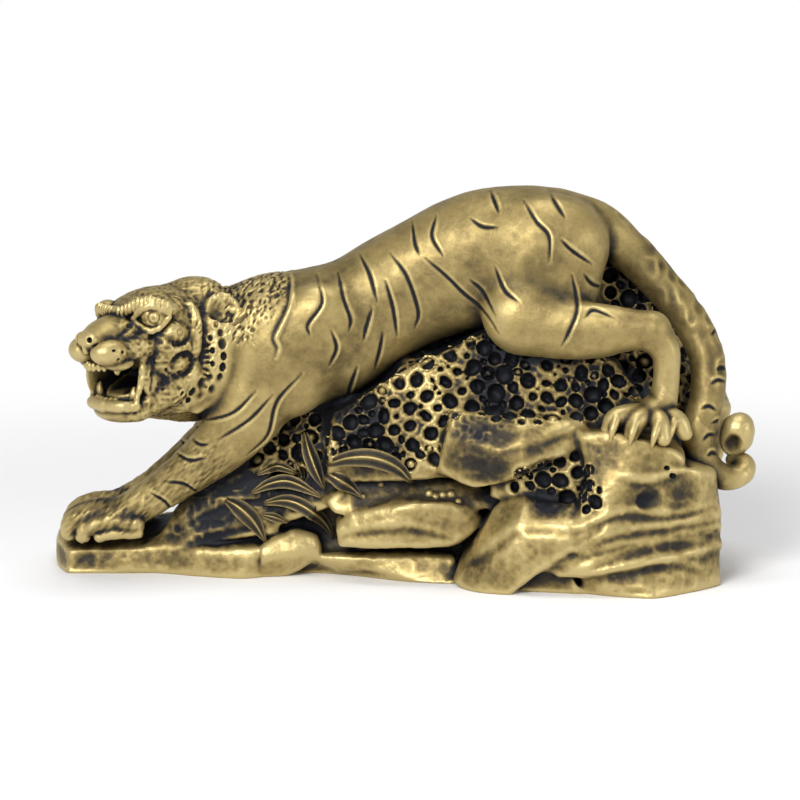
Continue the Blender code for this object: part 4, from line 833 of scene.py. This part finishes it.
# a running mean over 2 * reach + 1 nodes along each axis
def blurBox(grid, reach):
    for axis in range(3):
        pads = [(0, 0)] * 3
        pads[axis] = (reach + 1, reach)
        total = np.cumsum(np.pad(grid, pads, mode="edge"), axis=axis, dtype=np.float64)
        high, low = [slice(None)] * 3, [slice(None)] * 3
        high[axis], low[axis] = slice(2 * reach + 1, None), slice(0, -2 * reach - 1)
        grid = ((total[tuple(high)] - total[tuple(low)]) / (2 * reach + 1)).astype(np.float32)
    return grid


# on a grid of 1 mm, how much of the space around each node is filled: near it and further off; this is used
# to paint shade into enclosed places
def fullnessForPaintedShade(clays):
    whole = Clay(wholeLow, wholeHigh, 1)
    for clay in clays:
        part = clay.field[::clay.fineness, ::clay.fineness, ::clay.fineness]
        start = clay.low - whole.low
        cuts = tuple(slice(a, a + n) for a, n in zip(start, part.shape))
        whole.field[cuts] = np.minimum(whole.field[cuts], part)
    solid = np.clip(0.5 - whole.field, 0, 1)
    near, far = Clay(wholeLow, wholeHigh, 1), Clay(wholeLow, wholeHigh, 1)
    near.field = blurBox(blurBox(solid, 1), 1)
    far.field = blurBox(blurBox(solid, 3), 3)
    return near, far


def pointNormals(points, faces):
    a, b, c, d = (points[faces[:, k]] for k in range(4))
    flat = np.cross(c - a, d - b)
    normals = np.zeros_like(points)
    for k in range(4):
        for axis in range(3):
            normals[:, axis] += np.bincount(faces[:, k], weights=flat[:, axis], minlength=len(points))
    return normals / np.maximum(np.linalg.norm(normals, axis=1), 1e-9)[:, None]


# the mean of each point's neighbours along the faces' edges
def meanOfNeighbours(values, faces):
    total = np.zeros_like(values)
    count = np.zeros(len(values))
    for k in range(4):
        a, b = faces[:, k], faces[:, (k + 1) % 4]
        for here, there in ((a, b), (b, a)):
            count += np.bincount(here, minlength=len(values))
            for axis in range(3):
                total[:, axis] += np.bincount(here, weights=values[there, axis], minlength=len(values))
    return total / np.maximum(count, 1)[:, None]


# how far each point lies below its neighbours, in mm, smoothed over the mesh
def hollows(points, faces, passes):
    mean = points
    for _ in range(passes):
        mean = meanOfNeighbours(mean, faces)
    return ((mean - points) * pointNormals(points, faces)).sum(1)


# Stripes, folds of the wrist and ticks on the tail as seen from the side: x and height along each groove.
# The first, with seven places, is the raised line behind the collar
stripes = (
    ((-34, 86.5), (-32.5, 84.5), (-33, 79), (-35.8, 73), (-36.9, 70), (-35.8, 67.4), (-36.2, 65)),
    ((-24.6, 86), (-23, 80), (-27, 74), (-26.5, 71)), ((-18.7, 87), (-17, 81), (-15, 75), (-15.5, 72)),
    ((-20.4, 72), (-19, 67), (-21, 62)), ((-12.5, 92), (-9.7, 87), (-7.7, 80)),
    ((-5.2, 85.5), (-3.1, 78), (-2, 70)), ((-4, 93), (0.7, 87), (4, 77), (3, 72)),
    ((-9, 78), (-10.5, 73), (-11.5, 69)), ((-6, 71), (-7, 65), (-8.3, 60)),
    ((-13.3, 61), (-14.8, 56), (-16, 52)), ((2.3, 101), (3, 96), (4.2, 93)),
    ((9, 103), (7.8, 98), (10.7, 93)), ((6, 92), (12, 87), (17, 82), (23, 77), (26.5, 72)),
    ((24.5, 110), (26.5, 105)), ((18.7, 103), (22, 101), (26, 101)),
    ((33.7, 108), (37, 103), (40.5, 99), (40.5, 92)), ((41, 110), (45, 104)),
    ((25.5, 90), (28, 84), (32, 81)), ((18.7, 86), (22, 83), (25.5, 77)),
    ((44, 98), (47, 95), (52.5, 91)), ((50.5, 88), (53, 85), (57.5, 83)),
    ((47, 88), (48.4, 80), (46, 73), (44, 69)), ((50.4, 77), (53, 79), (58.5, 77)),
    ((-41.8, 55), (-48, 49), (-56, 46)), ((-37, 54), (-43.5, 47), (-52.5, 41)),
    ((-28.8, 60), (-35.8, 52), (-38.5, 42), (-44.5, 36)),
    ((-60.5, 40.6), (-58, 39.2), (-55.5, 39.4)), ((-65, 36), (-60.5, 34.6), (-56, 35.6)),
    ((-68, 28), (-62.5, 27.6), (-58.6, 24.4)), ((-72, 24.6), (-68, 22), (-66, 18)),
    ((84, 49.8), (86, 50.5), (88, 49.2)), ((87, 45.8), (88.6, 46), (90, 45.2)),
    ((84.2, 41), (86, 42.4), (88, 42)), ((85.6, 36.6), (87, 37.4), (88.4, 36.6)),
    ((88, 60.4), (90, 60.8), (92, 59.6)), ((86.6, 56.6), (88.6, 57.6), (90.8, 56.8)),
    ((87, 69.8), (88.6, 71), (90, 70.6)), ((80.6, 83.4), (82.4, 85), (84, 85)),
           ((72, 95), (74, 96), (75.4, 97.4)),
    ((66, 99), (67.6, 100.6), (69, 103)))


# signed distance of flat points from a line, and how far along it each one is, from 0 to 1
def lineGaps(flat, line):
    best = np.full(len(flat), 1e9)
    signed, share = np.zeros(len(flat)), np.zeros(len(flat))
    for i, (a, b) in enumerate(zip(line[:-1], line[1:])):
        step = b - a
        t = np.clip((flat - a) @ step / (step @ step), 0, 1)
        off = flat - a - t[:, None] * step
        gap = np.linalg.norm(off, axis=1)
        nearer = gap < best
        best[nearer] = gap[nearer]
        left = np.sign(step[0] * off[:, 1] - step[1] * off[:, 0])
        signed[nearer] = (gap * left)[nearer]
        share[nearer] = ((i + t) / (len(line) - 1))[nearer]
    return signed, share


# how far points go in along a groove that thins out at both ends, with a raised lip on one side
def carveLine(flat, line, width, depth, lip):
    line = curve(line, 5)
    push = np.zeros(len(flat))
    low, high = line.min(0) - 4 * width, line.max(0) + 4 * width
    near = np.nonzero(((flat > low) & (flat < high)).all(1))[0]
    if len(near):
        signed, share = lineGaps(flat[near], line)
        thin = np.sin(math.pi * np.clip(share, 0.03, 0.97)) ** 0.6
        w = width * (0.55 + 0.45 * thin)
        shape = np.exp(-(signed / w) ** 2) - lip * np.exp(-((signed - 1.7 * w) / w) ** 2)
        push[near] = depth * thin * shape
    return push


coatSet = {
    "stripeWidth": 0.5, "stripeDepth": 0.40, "stripeLips": (0.25, 0.7), "stripeStain": 0.36,
    "ridgeWidth": 0.65, "ridgeDepth": 0.2, "ridgeLip": 2.8, "tickDepth": 0.30,
    # x, height and reach of the fields of fur ticks on the neck
    "collar": ((-41, 84, 8.5, 9.5), (-47, 76, 6, 8), (-52, 84, 6, 5))}


stainSet = {
    # x, height, reach along each and amount of the areas where more stain was left, or less on the bare ones
    "coat": ((-85, 15, 13, 8, 0.30), (-76, 62, 13, 15, 0.26), (-70, 78, 8, 5, 0.14), (-60, 28, 14, 8, 0.14),
             (62, 50, 12, 6, 0.14), (76, 84, 16, 14, 0.28), (88, 58, 9, 16, 0.26), (88, 36, 10, 10, 0.22)),
    "bare": ((-49, 66, 6, 13, 0.30), (14, 62, 18, 6, 0.16), (-44, 50, 8, 6, 0.10)),
    "rocks": ((30, 38, 22, 8, 0.34), (0, 30, 18, 4, 0.22), (-84, 6, 18, 8, 0.20), (-56, 4, 14, 6, 0.16),
              (70, 12, 22, 10, 0.08), (4, 24, 18, 3, 0.2), (20, 4, 10, 7, 0.2), (72, 28, 9, 6, 0.14)),
    "pitted": ((-8, 46, 17, 11, 0.86), (30, 60, 24, 12, 0.86), (62, 58, 15, 12, 0.78),
               (72, 84, 14, 16, 0.86), (83, 58, 8, 16, 0.86), (-36, 32, 13, 15, 0.80),
               (-58, 20, 18, 11, 0.50), (12, 52, 18, 12, 0.50), (44, 30, 11, 7, 0.60))}


def stainAt(points, areas):
    total = np.zeros(len(points))
    for x, z, long, high, amount in areas:
        gap = ((points[:, 0] - x) / long) ** 2 + ((points[:, 2] - z) / high) ** 2
        total = np.maximum(total, amount * np.clip(1.6 - gap, 0, 1))
    return total


# rows of short curved ticks that lie along the neck
def furTicks(points):
    push = np.zeros(len(points))
    for x, z, long, high in coatSet["collar"]:
        near = np.clip(1.4 - ((points[:, 0] - x) / long) ** 2 - ((points[:, 2] - z) / high) ** 2, 0, 1)
        push = np.maximum(push, near)
    hair = np.stack([points[:, 0] * 0.5 + points[:, 2] * 0.85, points[:, 1] * 0.9,
                     points[:, 0] * 1.9 - points[:, 2] * 1.1], 1)
    hair[:, 2] += 1.2 * fuzz(points, 5.0, 41)
    ticks = np.clip(fuzz(hair, 1.25, 42) * 2.2, -0.4, 1)
    return push * ticks * coatSet["tickDepth"]


# the coat is calmed between the face and the paws, then grooved, and the stain in it is returned too
def carveBody(points, faces, cell):
    calm = points
    for _ in range(int(3 / cell) + 1):
        calm = meanOfNeighbours(calm, faces)
    x, z = points[:, 0], points[:, 2]
    onFace = 1 / (1 + np.exp(-np.clip((-46 - x - 0.6 * (z - 62)) / 1.5, -30, 30)))
    onFace *= np.clip(np.clip((z - 58) / 3, 0, 1) + np.clip((-58 - x) / 3, 0, 1), 0, 1) * (z > 40)
    onForePaw = (x < -74) & (z < 26)
    onHindPaw = (x > 50) & (z < 62) & (x + z < 130) & (np.abs(points[:, 1] - bodySet["spine"]) > 18)
    points = points + (calm - points) * ((1 - onFace) * ~(onForePaw | onHindPaw))[:, None]
    normals = pointNormals(points, faces)
    x, y, z = points.T
    flat = points[:, [0, 2]]
    push = np.zeros(len(points))
    for i, line in enumerate(stripes):
        if len(line) == 7:
            push += carveLine(flat, line, coatSet["ridgeWidth"], coatSet["ridgeDepth"], coatSet["ridgeLip"])
        else:
            push += carveLine(flat, line, coatSet["stripeWidth"], coatSet["stripeDepth"],
                              coatSet["stripeLips"][i % 2])
    push *= np.clip(np.abs(normals[:, 1]) * 2.5, 0, 1) * (1 - onFace)
    groove = np.clip(push, 0, 1) / coatSet["stripeDepth"] * coatSet["stripeStain"]
    push += furTicks(points) * (1 - onFace) - 0.10 * fuzz(points, 5.5, 6) - 0.05 * fuzz(points, 2.2, 5)
    onTail = np.clip((x + 0.6 * z - 120) / 6, 0, 1)
    push -= onTail * (0.20 - 0.5 * np.abs(fuzz(points * (1, 1, 0.6), 2.8, 12)))
    onArm = np.clip((-46 - x) / 8, 0, 1) * np.clip((44 - z) / 6, 0, 1)
    alongArm = np.stack([x + z, y, 3 * (x - z)], 1)
    push -= onArm * 0.16 * fuzz(alongArm, 2.4, 13)
    onCheek = np.clip((-52 - x) / 6, 0, 1) * np.clip((x + 82) / 6, 0, 1) * onFace
    push -= onCheek * (0.16 - 0.36 * np.abs(fuzz(points, 1.5, 9)) + 0.10 * fuzz(points, 0.8, 10))
    stain = groove + stainAt(points, stainSet["coat"]) - stainAt(points, stainSet["bare"])
    return points - normals * push[:, None], stain


# Strata that run across the front of the rocks, as x and height
strata = (
    ((43.4, 10.4), (54.9, 15.2), (64.1, 17.2), (76.4, 18.1), (88.1, 18.7)),
    ((44.8, 4.5), (59.2, 10.4), (72.1, 13.3), (86.6, 12.4)), ((52, 20), (62, 22.5), (74, 21), (86, 23)),
    ((28.2, 40), (39, 42), (50, 45.5)), ((14, 4), (24, 11), (33.3, 18.1), (48.3, 18.1), (59.3, 22.5)),
    ((30, 31), (38, 36), (47, 37)),
    ((-66, 6), (-54, 11), (-40, 14)), ((-60, 15), (-48, 20), (-34, 22)), ((-52, 24), (-42, 28), (-30, 30)),
    ((-22, 12), (-12, 14.5), (2, 16), (14, 13)), ((60, 6), (72, 8), (84, 5)), ((58, 33), (68, 31), (80, 34)))


rockSkin = {
    # size of the lumps in mm and height, of crests, chips, two grains and the roughness between the pits
    "crest": (13, 1.3), "chip": (4.5, 0.30), "grain": (1.6, 0.10),
    "fineGrain": (0.8, 0.05), "pitted": (2.1, 0.8),
    "strata": (1.3, 0.36, 0.8),   # width, depth and lip
    "warp": (8, 1.6), "height": 0.8}


# chiselled crests, chips and strata, and the stain in them
def carveRocks(points, faces, cell):
    normals = pointNormals(points, faces)
    lump, reach = rockSkin["warp"]
    warp = np.stack([fuzz(points, lump, seed) for seed in (21, 22, 23)], 1) * reach

    def rough(name, places, seed):
        size, height = rockSkin[name]
        return height * fuzz(places, size, seed)
    crest = np.abs(rough("crest", points + warp, 24)) - 0.40
    chip = 0.15 - np.abs(rough("chip", points + warp, 25))
    grain = rough("grain", points, 26) + rough("fineGrain", points, 27)
    onBase = np.clip(points[:, 2] / 1.5, 0, 1)   # the underside stays flat
    pitted = stainAt(points, stainSet["pitted"])
    push = crest - chip - grain + pitted * (np.abs(rough("pitted", points, 28)) - 0.3)
    push *= onBase * rockSkin["height"]
    front = np.clip(-normals[:, 1] * 2, 0, 1)
    for line in strata:
        push += front * carveLine(points[:, [0, 2]], line, *rockSkin["strata"])
    stain = np.maximum(stainAt(points, stainSet["rocks"]), pitted)
    return points - normals * push[:, None], stain


mostTriangles = 178000


# a mesh object in metres, with its patina and painted shade stored on the points
def storePiece(name, points, faces, patinaAndShade, material):
    mesh = bpy.data.meshes.new(name)
    mesh.vertices.add(len(points))
    mesh.vertices.foreach_set("co", ((points + shift) * 0.001).astype(np.float32).ravel())
    mesh.loops.add(faces.size)
    mesh.loops.foreach_set("vertex_index", faces.astype(np.int32).ravel())
    mesh.polygons.add(len(faces))
    mesh.polygons.foreach_set("loop_start", np.arange(0, faces.size, 4, dtype=np.int32))
    mesh.update(calc_edges=True)
    mesh.validate()
    mesh.shade_smooth()
    # the patina stored here holds real stain in the hollows and painted shade in enclosed places
    layer = mesh.attributes.new("patinaAndShade", "FLOAT", "POINT")
    layer.data.foreach_set("value", np.clip(patinaAndShade, -1, 2).astype(np.float32))
    mesh.materials.append(material)
    piece = bpy.data.objects.new(name, mesh)
    bpy.context.scene.collection.objects.link(piece)
    if 2 * len(faces) > mostTriangles:
        thinner = piece.modifiers.new("thinner", "DECIMATE")
        thinner.ratio = mostTriangles / (2 * len(faces))
        done = piece.evaluated_get(bpy.context.evaluated_depsgraph_get())
        piece.data = bpy.data.meshes.new_from_object(done)
        piece.modifiers.clear()
    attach(piece, "root")
    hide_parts("tiger_figurine")
    piece.data.calc_loop_triangles()
    print(name, len(piece.data.loop_triangles), "triangles")


def keepFaces(points, faces, values, kept):
    used, faces = np.unique(faces[kept], return_inverse=True)
    return points[used], faces.reshape(-1, 4), values[used]


patinaAndShadeSet = {
    # fine and mid: depth of a hollow in mm, and its weight
    # near and far, painted shade: how full the space around is where it adds nothing, its spread, and its
    # weight
    "fine": (0.10, 0.16), "mid": (0.35, 0.26), "near": (0.46, 0.22, 0.26), "far": (0.50, 0.26, 0.34),
    "lift": 0.12,
    # how soon rock counts as pitted, and how much of the stain over a limit is wiped off bare rock
    "pitted": 2.2, "wiped": 0.62, "limit": 0.46}


# stain gathers in hollows, large and small, and is wiped off the heights; shade is painted on where the
# space around is full
def patinaAndShadeOf(points, faces, cell, stain):
    patinaAndShade = stain + patinaAndShadeSet["lift"]
    spread = (0.5 / cell) ** 2
    for name, passes in (("fine", max(1, round(2 * spread))), ("mid", round(14 * spread))):
        depth, weight = patinaAndShadeSet[name]
        patinaAndShade = patinaAndShade + weight * np.clip(hollows(points, faces, passes) / depth, -1, 2.5)
    # painted shade: darker where the space around is full, near each point and further off
    for name, clay in (("near", near), ("far", far)):
        middle, spread, weight = patinaAndShadeSet[name]
        patinaAndShade = patinaAndShade + weight * (clay.probe(points) - middle) / spread
    return patinaAndShade


bronzeSet = {
    # amount of stain and painted shade, and the colour there, from the wiped heights to the hollows and
    # enclosed places
    "stops": ((0.02, (0.50, 0.395, 0.170)), (0.34, (0.335, 0.252, 0.093)), (0.58, (0.165, 0.120, 0.042)),
              (0.80, (0.048, 0.038, 0.022)), (1.0, (0.008, 0.009, 0.013))),
    # scale, detail and roughness of the noise in the stain, and its weight
    "cloud": (130, 6, 0.5, 0.22), "speck": (1100, 4, 0.65, 0.22), "grain": (420, 5, 0.6, 0.26),
    "polished": 0.38, "dull": 0.62, "metallic": 0.62, "bump": 0.35, "bumpHeight": 0.0003}


# a node with its inputs set to values or linked to sockets
def addNode(tree, kind, inputs, operation=None):
    node = tree.nodes.new("ShaderNode" + kind)
    if operation:
        node.operation = operation
    for name, value in inputs.items():
        if isinstance(value, bpy.types.NodeSocket):
            tree.links.new(value, node.inputs[name])
        else:
            node.inputs[name].default_value = value
    return node


# gold-bronze paint wiped off the heights, blue-black stain left in the hollows, darkened further by painted
# shade in enclosed places
def bronze():
    material = bpy.data.materials.new("bronzePaint")
    material.use_nodes = True
    tree = material.node_tree
    shader = tree.nodes["Principled BSDF"]
    place = addNode(tree, "TexCoord", {}).outputs["Object"]

    def sumOf(value, factor, base):
        return addNode(tree, "Math", {0: value, 1: factor, 2: base}, "MULTIPLY_ADD").outputs[0]
    # the patina attribute holds stain and painted shade
    patinaAndShade = addNode(tree, "Attribute", {})
    patinaAndShade.attribute_name = "patinaAndShade"
    stained = patinaAndShade.outputs["Fac"]
    layers = {}
    for name in ("cloud", "speck", "grain"):
        scale, detail, roughness, weight = bronzeSet[name]
        noise = addNode(tree, "TexNoise", {"Vector": place, "Scale": scale, "Detail": detail,
                                           "Roughness": roughness})
        layers[name] = noise.outputs["Fac"]
        stained = sumOf(layers[name], weight, stained)
    ramp = addNode(tree, "ValToRGB", {"Fac": stained})
    stops = bronzeSet["stops"]
    for element, (position, colour) in zip(ramp.color_ramp.elements, (stops[0], stops[-1])):
        element.position = position
        element.color = (*colour, 1)
    for position, colour in stops[1:-1]:
        ramp.color_ramp.elements.new(position).color = (*colour, 1)
    rough = addNode(tree, "MapRange", {"Value": stained, "From Min": 0.1, "From Max": 1.0,
                                       "To Min": bronzeSet["polished"], "To Max": bronzeSet["dull"]})
    bump = addNode(tree, "Bump", {"Strength": bronzeSet["bump"], "Distance": bronzeSet["bumpHeight"],
                                  "Height": sumOf(layers["grain"], 1.0, layers["speck"])})
    shader.inputs["Metallic"].default_value = bronzeSet["metallic"]
    tree.links.new(ramp.outputs["Color"], shader.inputs["Base Color"])
    tree.links.new(rough.outputs[0], shader.inputs["Roughness"])
    tree.links.new(bump.outputs["Normal"], shader.inputs["Normal"])
    return material


paint = bronze()
print("paint mixed")
headFine, bodyFine = ((3, 2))   # cells to the mm
headClay = Clay((-106, -42, 36), (-30, 32, 96), headFine)
sculptBody(headClay)
sculptHead(headClay)
print("head sculpted")
bodyClay = Clay((-104, -34, 4), (106, 44, 116), bodyFine)
sculptBody(bodyClay)
sculptHead(bodyClay)
print("body sculpted")
rockClay = Clay((-106, -44, -4), (106, 46, 100), bodyFine)
sculptRocks(rockClay)
print("rocks sculpted")
# how full the space is near each point and further off, for the painted shade
near, far = fullnessForPaintedShade((headClay, bodyClay, rockClay))


splitSet = {
    # the cut through the neck: its place at a height, how much it leans, and where it ends under the chin
    "neck": (-34, 90), "lean": 0.467, "chin": 42, "lap": 0.4,
    # the cuts across the body and the rocks, and how deep in the other form a face is dropped
    "body": 2, "rocks": (12, 54), "buried": 1.6}


# which points are on the head's side of a slanted cut through the neck
def onHeadSide(p, spare=0.0):
    place, height = splitSet["neck"]
    slanted = p[:, 0] < spare + place + splitSet["lean"] * (p[:, 2] - height)
    return slanted & (p[:, 2] > splitSet["chin"] - spare)


def headParts(p):
    return (onHeadSide(p, splitSet["lap"]),)   # laps a little over the body


def bodyParts(p):
    behind = ~onHeadSide(p)
    fore = p[:, 0] < splitSet["body"]
    return behind & fore, behind & ~fore


def rockParts(p):
    left, right = p[:, 0] < splitSet["rocks"][0], p[:, 0] >= splitSet["rocks"][1]
    return left, ~left & ~right, right


meshes = []
for names, clay, parts, carve in (
        (("head",), headClay, headParts, carveBody),
        (("foreBody", "hindBody"), bodyClay, bodyParts, carveBody),
        (("leftRocks", "middleRocks", "rightRocks"), rockClay, rockParts, carveRocks)):
    points, faces = clay.skin()
    points, stain = carve(points, faces, clay.cell)
    patinaAndShade = patinaAndShadeOf(points, faces, clay.cell, stain)
    if clay is rockClay:   # bare rock is stained brown, and only the pitted parts turn blue-black
        bare = 1 - np.clip(patinaAndShadeSet["pitted"] * stainAt(points, stainSet["pitted"]), 0, 1)
        patinaAndShade -= bare * patinaAndShadeSet["wiped"] * np.maximum(patinaAndShade - patinaAndShadeSet["limit"], 0)
    middles = points[faces].mean(1)
    buried = (bodyClay if clay is rockClay else rockClay).probe(middles) < -splitSet["buried"]
    for name, kept in zip(names, parts(middles)):
        meshes.append((name, *keepFaces(points, faces, patinaAndShade, kept & ~buried)))
    print(names, "carved")
points, faces, stain = [], [], []
for rows in leafSet["blades"]:
    places, blade, marks = leafMesh(rockClay, rows)
    faces.append(blade + sum(map(len, points)))
    points.append(places)
    stain.append(marks)
points = np.concatenate(points)
# painted shade: leaves darker where the space around them is full
wide = np.clip((far.probe(points) - 0.42) / 0.3, -0.5, 1)
meshes.append(("leaves", points, np.concatenate(faces), np.concatenate(stain) + 0.25 * wide))
print("leaves laid")

# The sculpture is moved into the middle of the solid's box
low = np.min([m[1].min(0) for m in meshes], axis=0)
high = np.max([m[1].max(0) for m in meshes], axis=0)
cadLow, cadHigh = np.array(cadBox[0]) * 1000, np.array(cadBox[1]) * 1000
shift = (cadLow + cadHigh) / 2 - (low + high) / 2
shift[2] = 0
print("moved by", shift, "mm")
for name, points, faces, patinaAndShade in meshes:
    storePiece(name, points, faces, patinaAndShade, paint)

floorSet = {"half": 3, "colour": (0.86, 0.86, 0.87, 1), "roughness": 0.8, "fadeFrom": 0.14, "fadeTo": 0.34}
side = floorSet["half"]
floorMesh = bpy.data.meshes.new("floor")
floorMesh.from_pydata([(-side, -side, 0), (side, -side, 0), (side, side, 0), (-side, side, 0)], [],
                      [(0, 1, 2, 3)])
floor = bpy.data.objects.new("floor", floorMesh)
bpy.context.scene.collection.objects.link(floor)
pale = bpy.data.materials.new("paleFloor")
pale.use_nodes = True
tree = pale.node_tree
paleShader = tree.nodes["Principled BSDF"]
paleShader.inputs["Base Color"].default_value = floorSet["colour"]
paleShader.inputs["Roughness"].default_value = floorSet["roughness"]
# away from the figurine the floor turns white for the camera and for reflections
reach = addNode(tree, "VectorMath", {0: addNode(tree, "TexCoord", {}).outputs["Object"]}, "LENGTH")
fade = addNode(tree, "MapRange", {"Value": reach.outputs["Value"], "From Min": floorSet["fadeFrom"],
                                  "From Max": floorSet["fadeTo"]})
fade.interpolation_type = "SMOOTHSTEP"
paths = addNode(tree, "LightPath", {})
seen = addNode(tree, "Math", {0: paths.outputs["Is Camera Ray"], 1: paths.outputs["Is Glossy Ray"]},
               "MAXIMUM")
amount = addNode(tree, "Math", {0: fade.outputs[0], 1: seen.outputs[0]}, "MULTIPLY")
backdrop = addNode(tree, "Emission", {})
mixed = addNode(tree, "MixShader", {0: amount.outputs[0], 1: paleShader.outputs[0], 2: backdrop.outputs[0]})
tree.links.new(mixed.outputs[0], tree.nodes["Material Output"].inputs["Surface"])
floorMesh.materials.append(pale)
print("floor laid")

# Soft light from all round, stronger from the horizon, and white where the camera sees it
worldSet = {"horizon": 0.62, "overhead": 0.32, "from": 0.15, "to": 0.6}
world = bpy.data.worlds.new("studio")
bpy.context.scene.world = world
world.use_nodes = True
tree = world.node_tree
direction = addNode(tree, "SeparateXYZ", {0: addNode(tree, "TexCoord", {}).outputs["Generated"]})
sky = addNode(tree, "MapRange", {"Value": direction.outputs["Z"], "From Min": worldSet["from"],
                                 "From Max": worldSet["to"], "To Min": worldSet["horizon"],
                                 "To Max": worldSet["overhead"]})
sky.interpolation_type = "SMOOTHSTEP"
paths = addNode(tree, "LightPath", {})
strength = addNode(tree, "Mix", {"Factor": paths.outputs["Is Camera Ray"], "A": sky.outputs[0], "B": 1.0})
background = tree.nodes["Background"]
tree.links.new(strength.outputs["Result"], background.inputs["Strength"])
background.inputs["Color"].default_value = (1, 1, 1, 1)

lampSet = {
    # place, size and power of each lamp, which all look at aim
    "keyLight": ((-0.30, -0.78, 0.60), 0.40, 8.5), "topLight": ((0.05, -0.05, 0.9), 0.45, 3.2),
    "sideLight": ((0.75, -0.45, 0.30), 0.3, 1.5)}
aim = Vector((0, 0, 0.05))
for name, (place, size, power) in lampSet.items():
    lamp = bpy.data.lights.new(name, "AREA")
    lamp.size = size
    lamp.energy = power
    holder = bpy.data.objects.new(name, lamp)
    holder.location = place
    holder.rotation_euler = (aim - Vector(place)).to_track_quat("-Z", "Y").to_euler()
    bpy.context.scene.collection.objects.link(holder)
print("lamps placed")

# The camera stands where the photograph was taken from, and is moved in its own plane to frame it alike
viewSet = {"tilt": 10, "distance": 1.100, "mmPerPixel": 0.2874, "middlePixel": (404, 572), "frame": 800,
           "sensor": 36}
tilt = math.radians(viewSet["tilt"])
away = Vector((0, math.cos(tilt), -math.sin(tilt)))
upwards = Vector((0, math.sin(tilt), math.cos(tilt)))
half = viewSet["frame"] / 2
scale = viewSet["mmPerPixel"] / 1000
camera = bpy.data.cameras.new("camera")
camera.sensor_width = viewSet["sensor"]
camera.lens = viewSet["sensor"] * viewSet["distance"] / (viewSet["frame"] * scale)
eye = bpy.data.objects.new("camera", camera)
aside = Vector(((half - viewSet["middlePixel"][0]) * scale, 0, 0))
eye.location = (Vector(shift) * 0.001 + aside + upwards * (viewSet["middlePixel"][1] - half) * scale
                - away * viewSet["distance"])
eye.rotation_euler = away.to_track_quat("-Z", "Y").to_euler()
bpy.context.scene.collection.objects.link(eye)
bpy.context.scene.camera = eye
bpy.context.scene.view_settings.view_transform = "Standard"
print("camera placed")
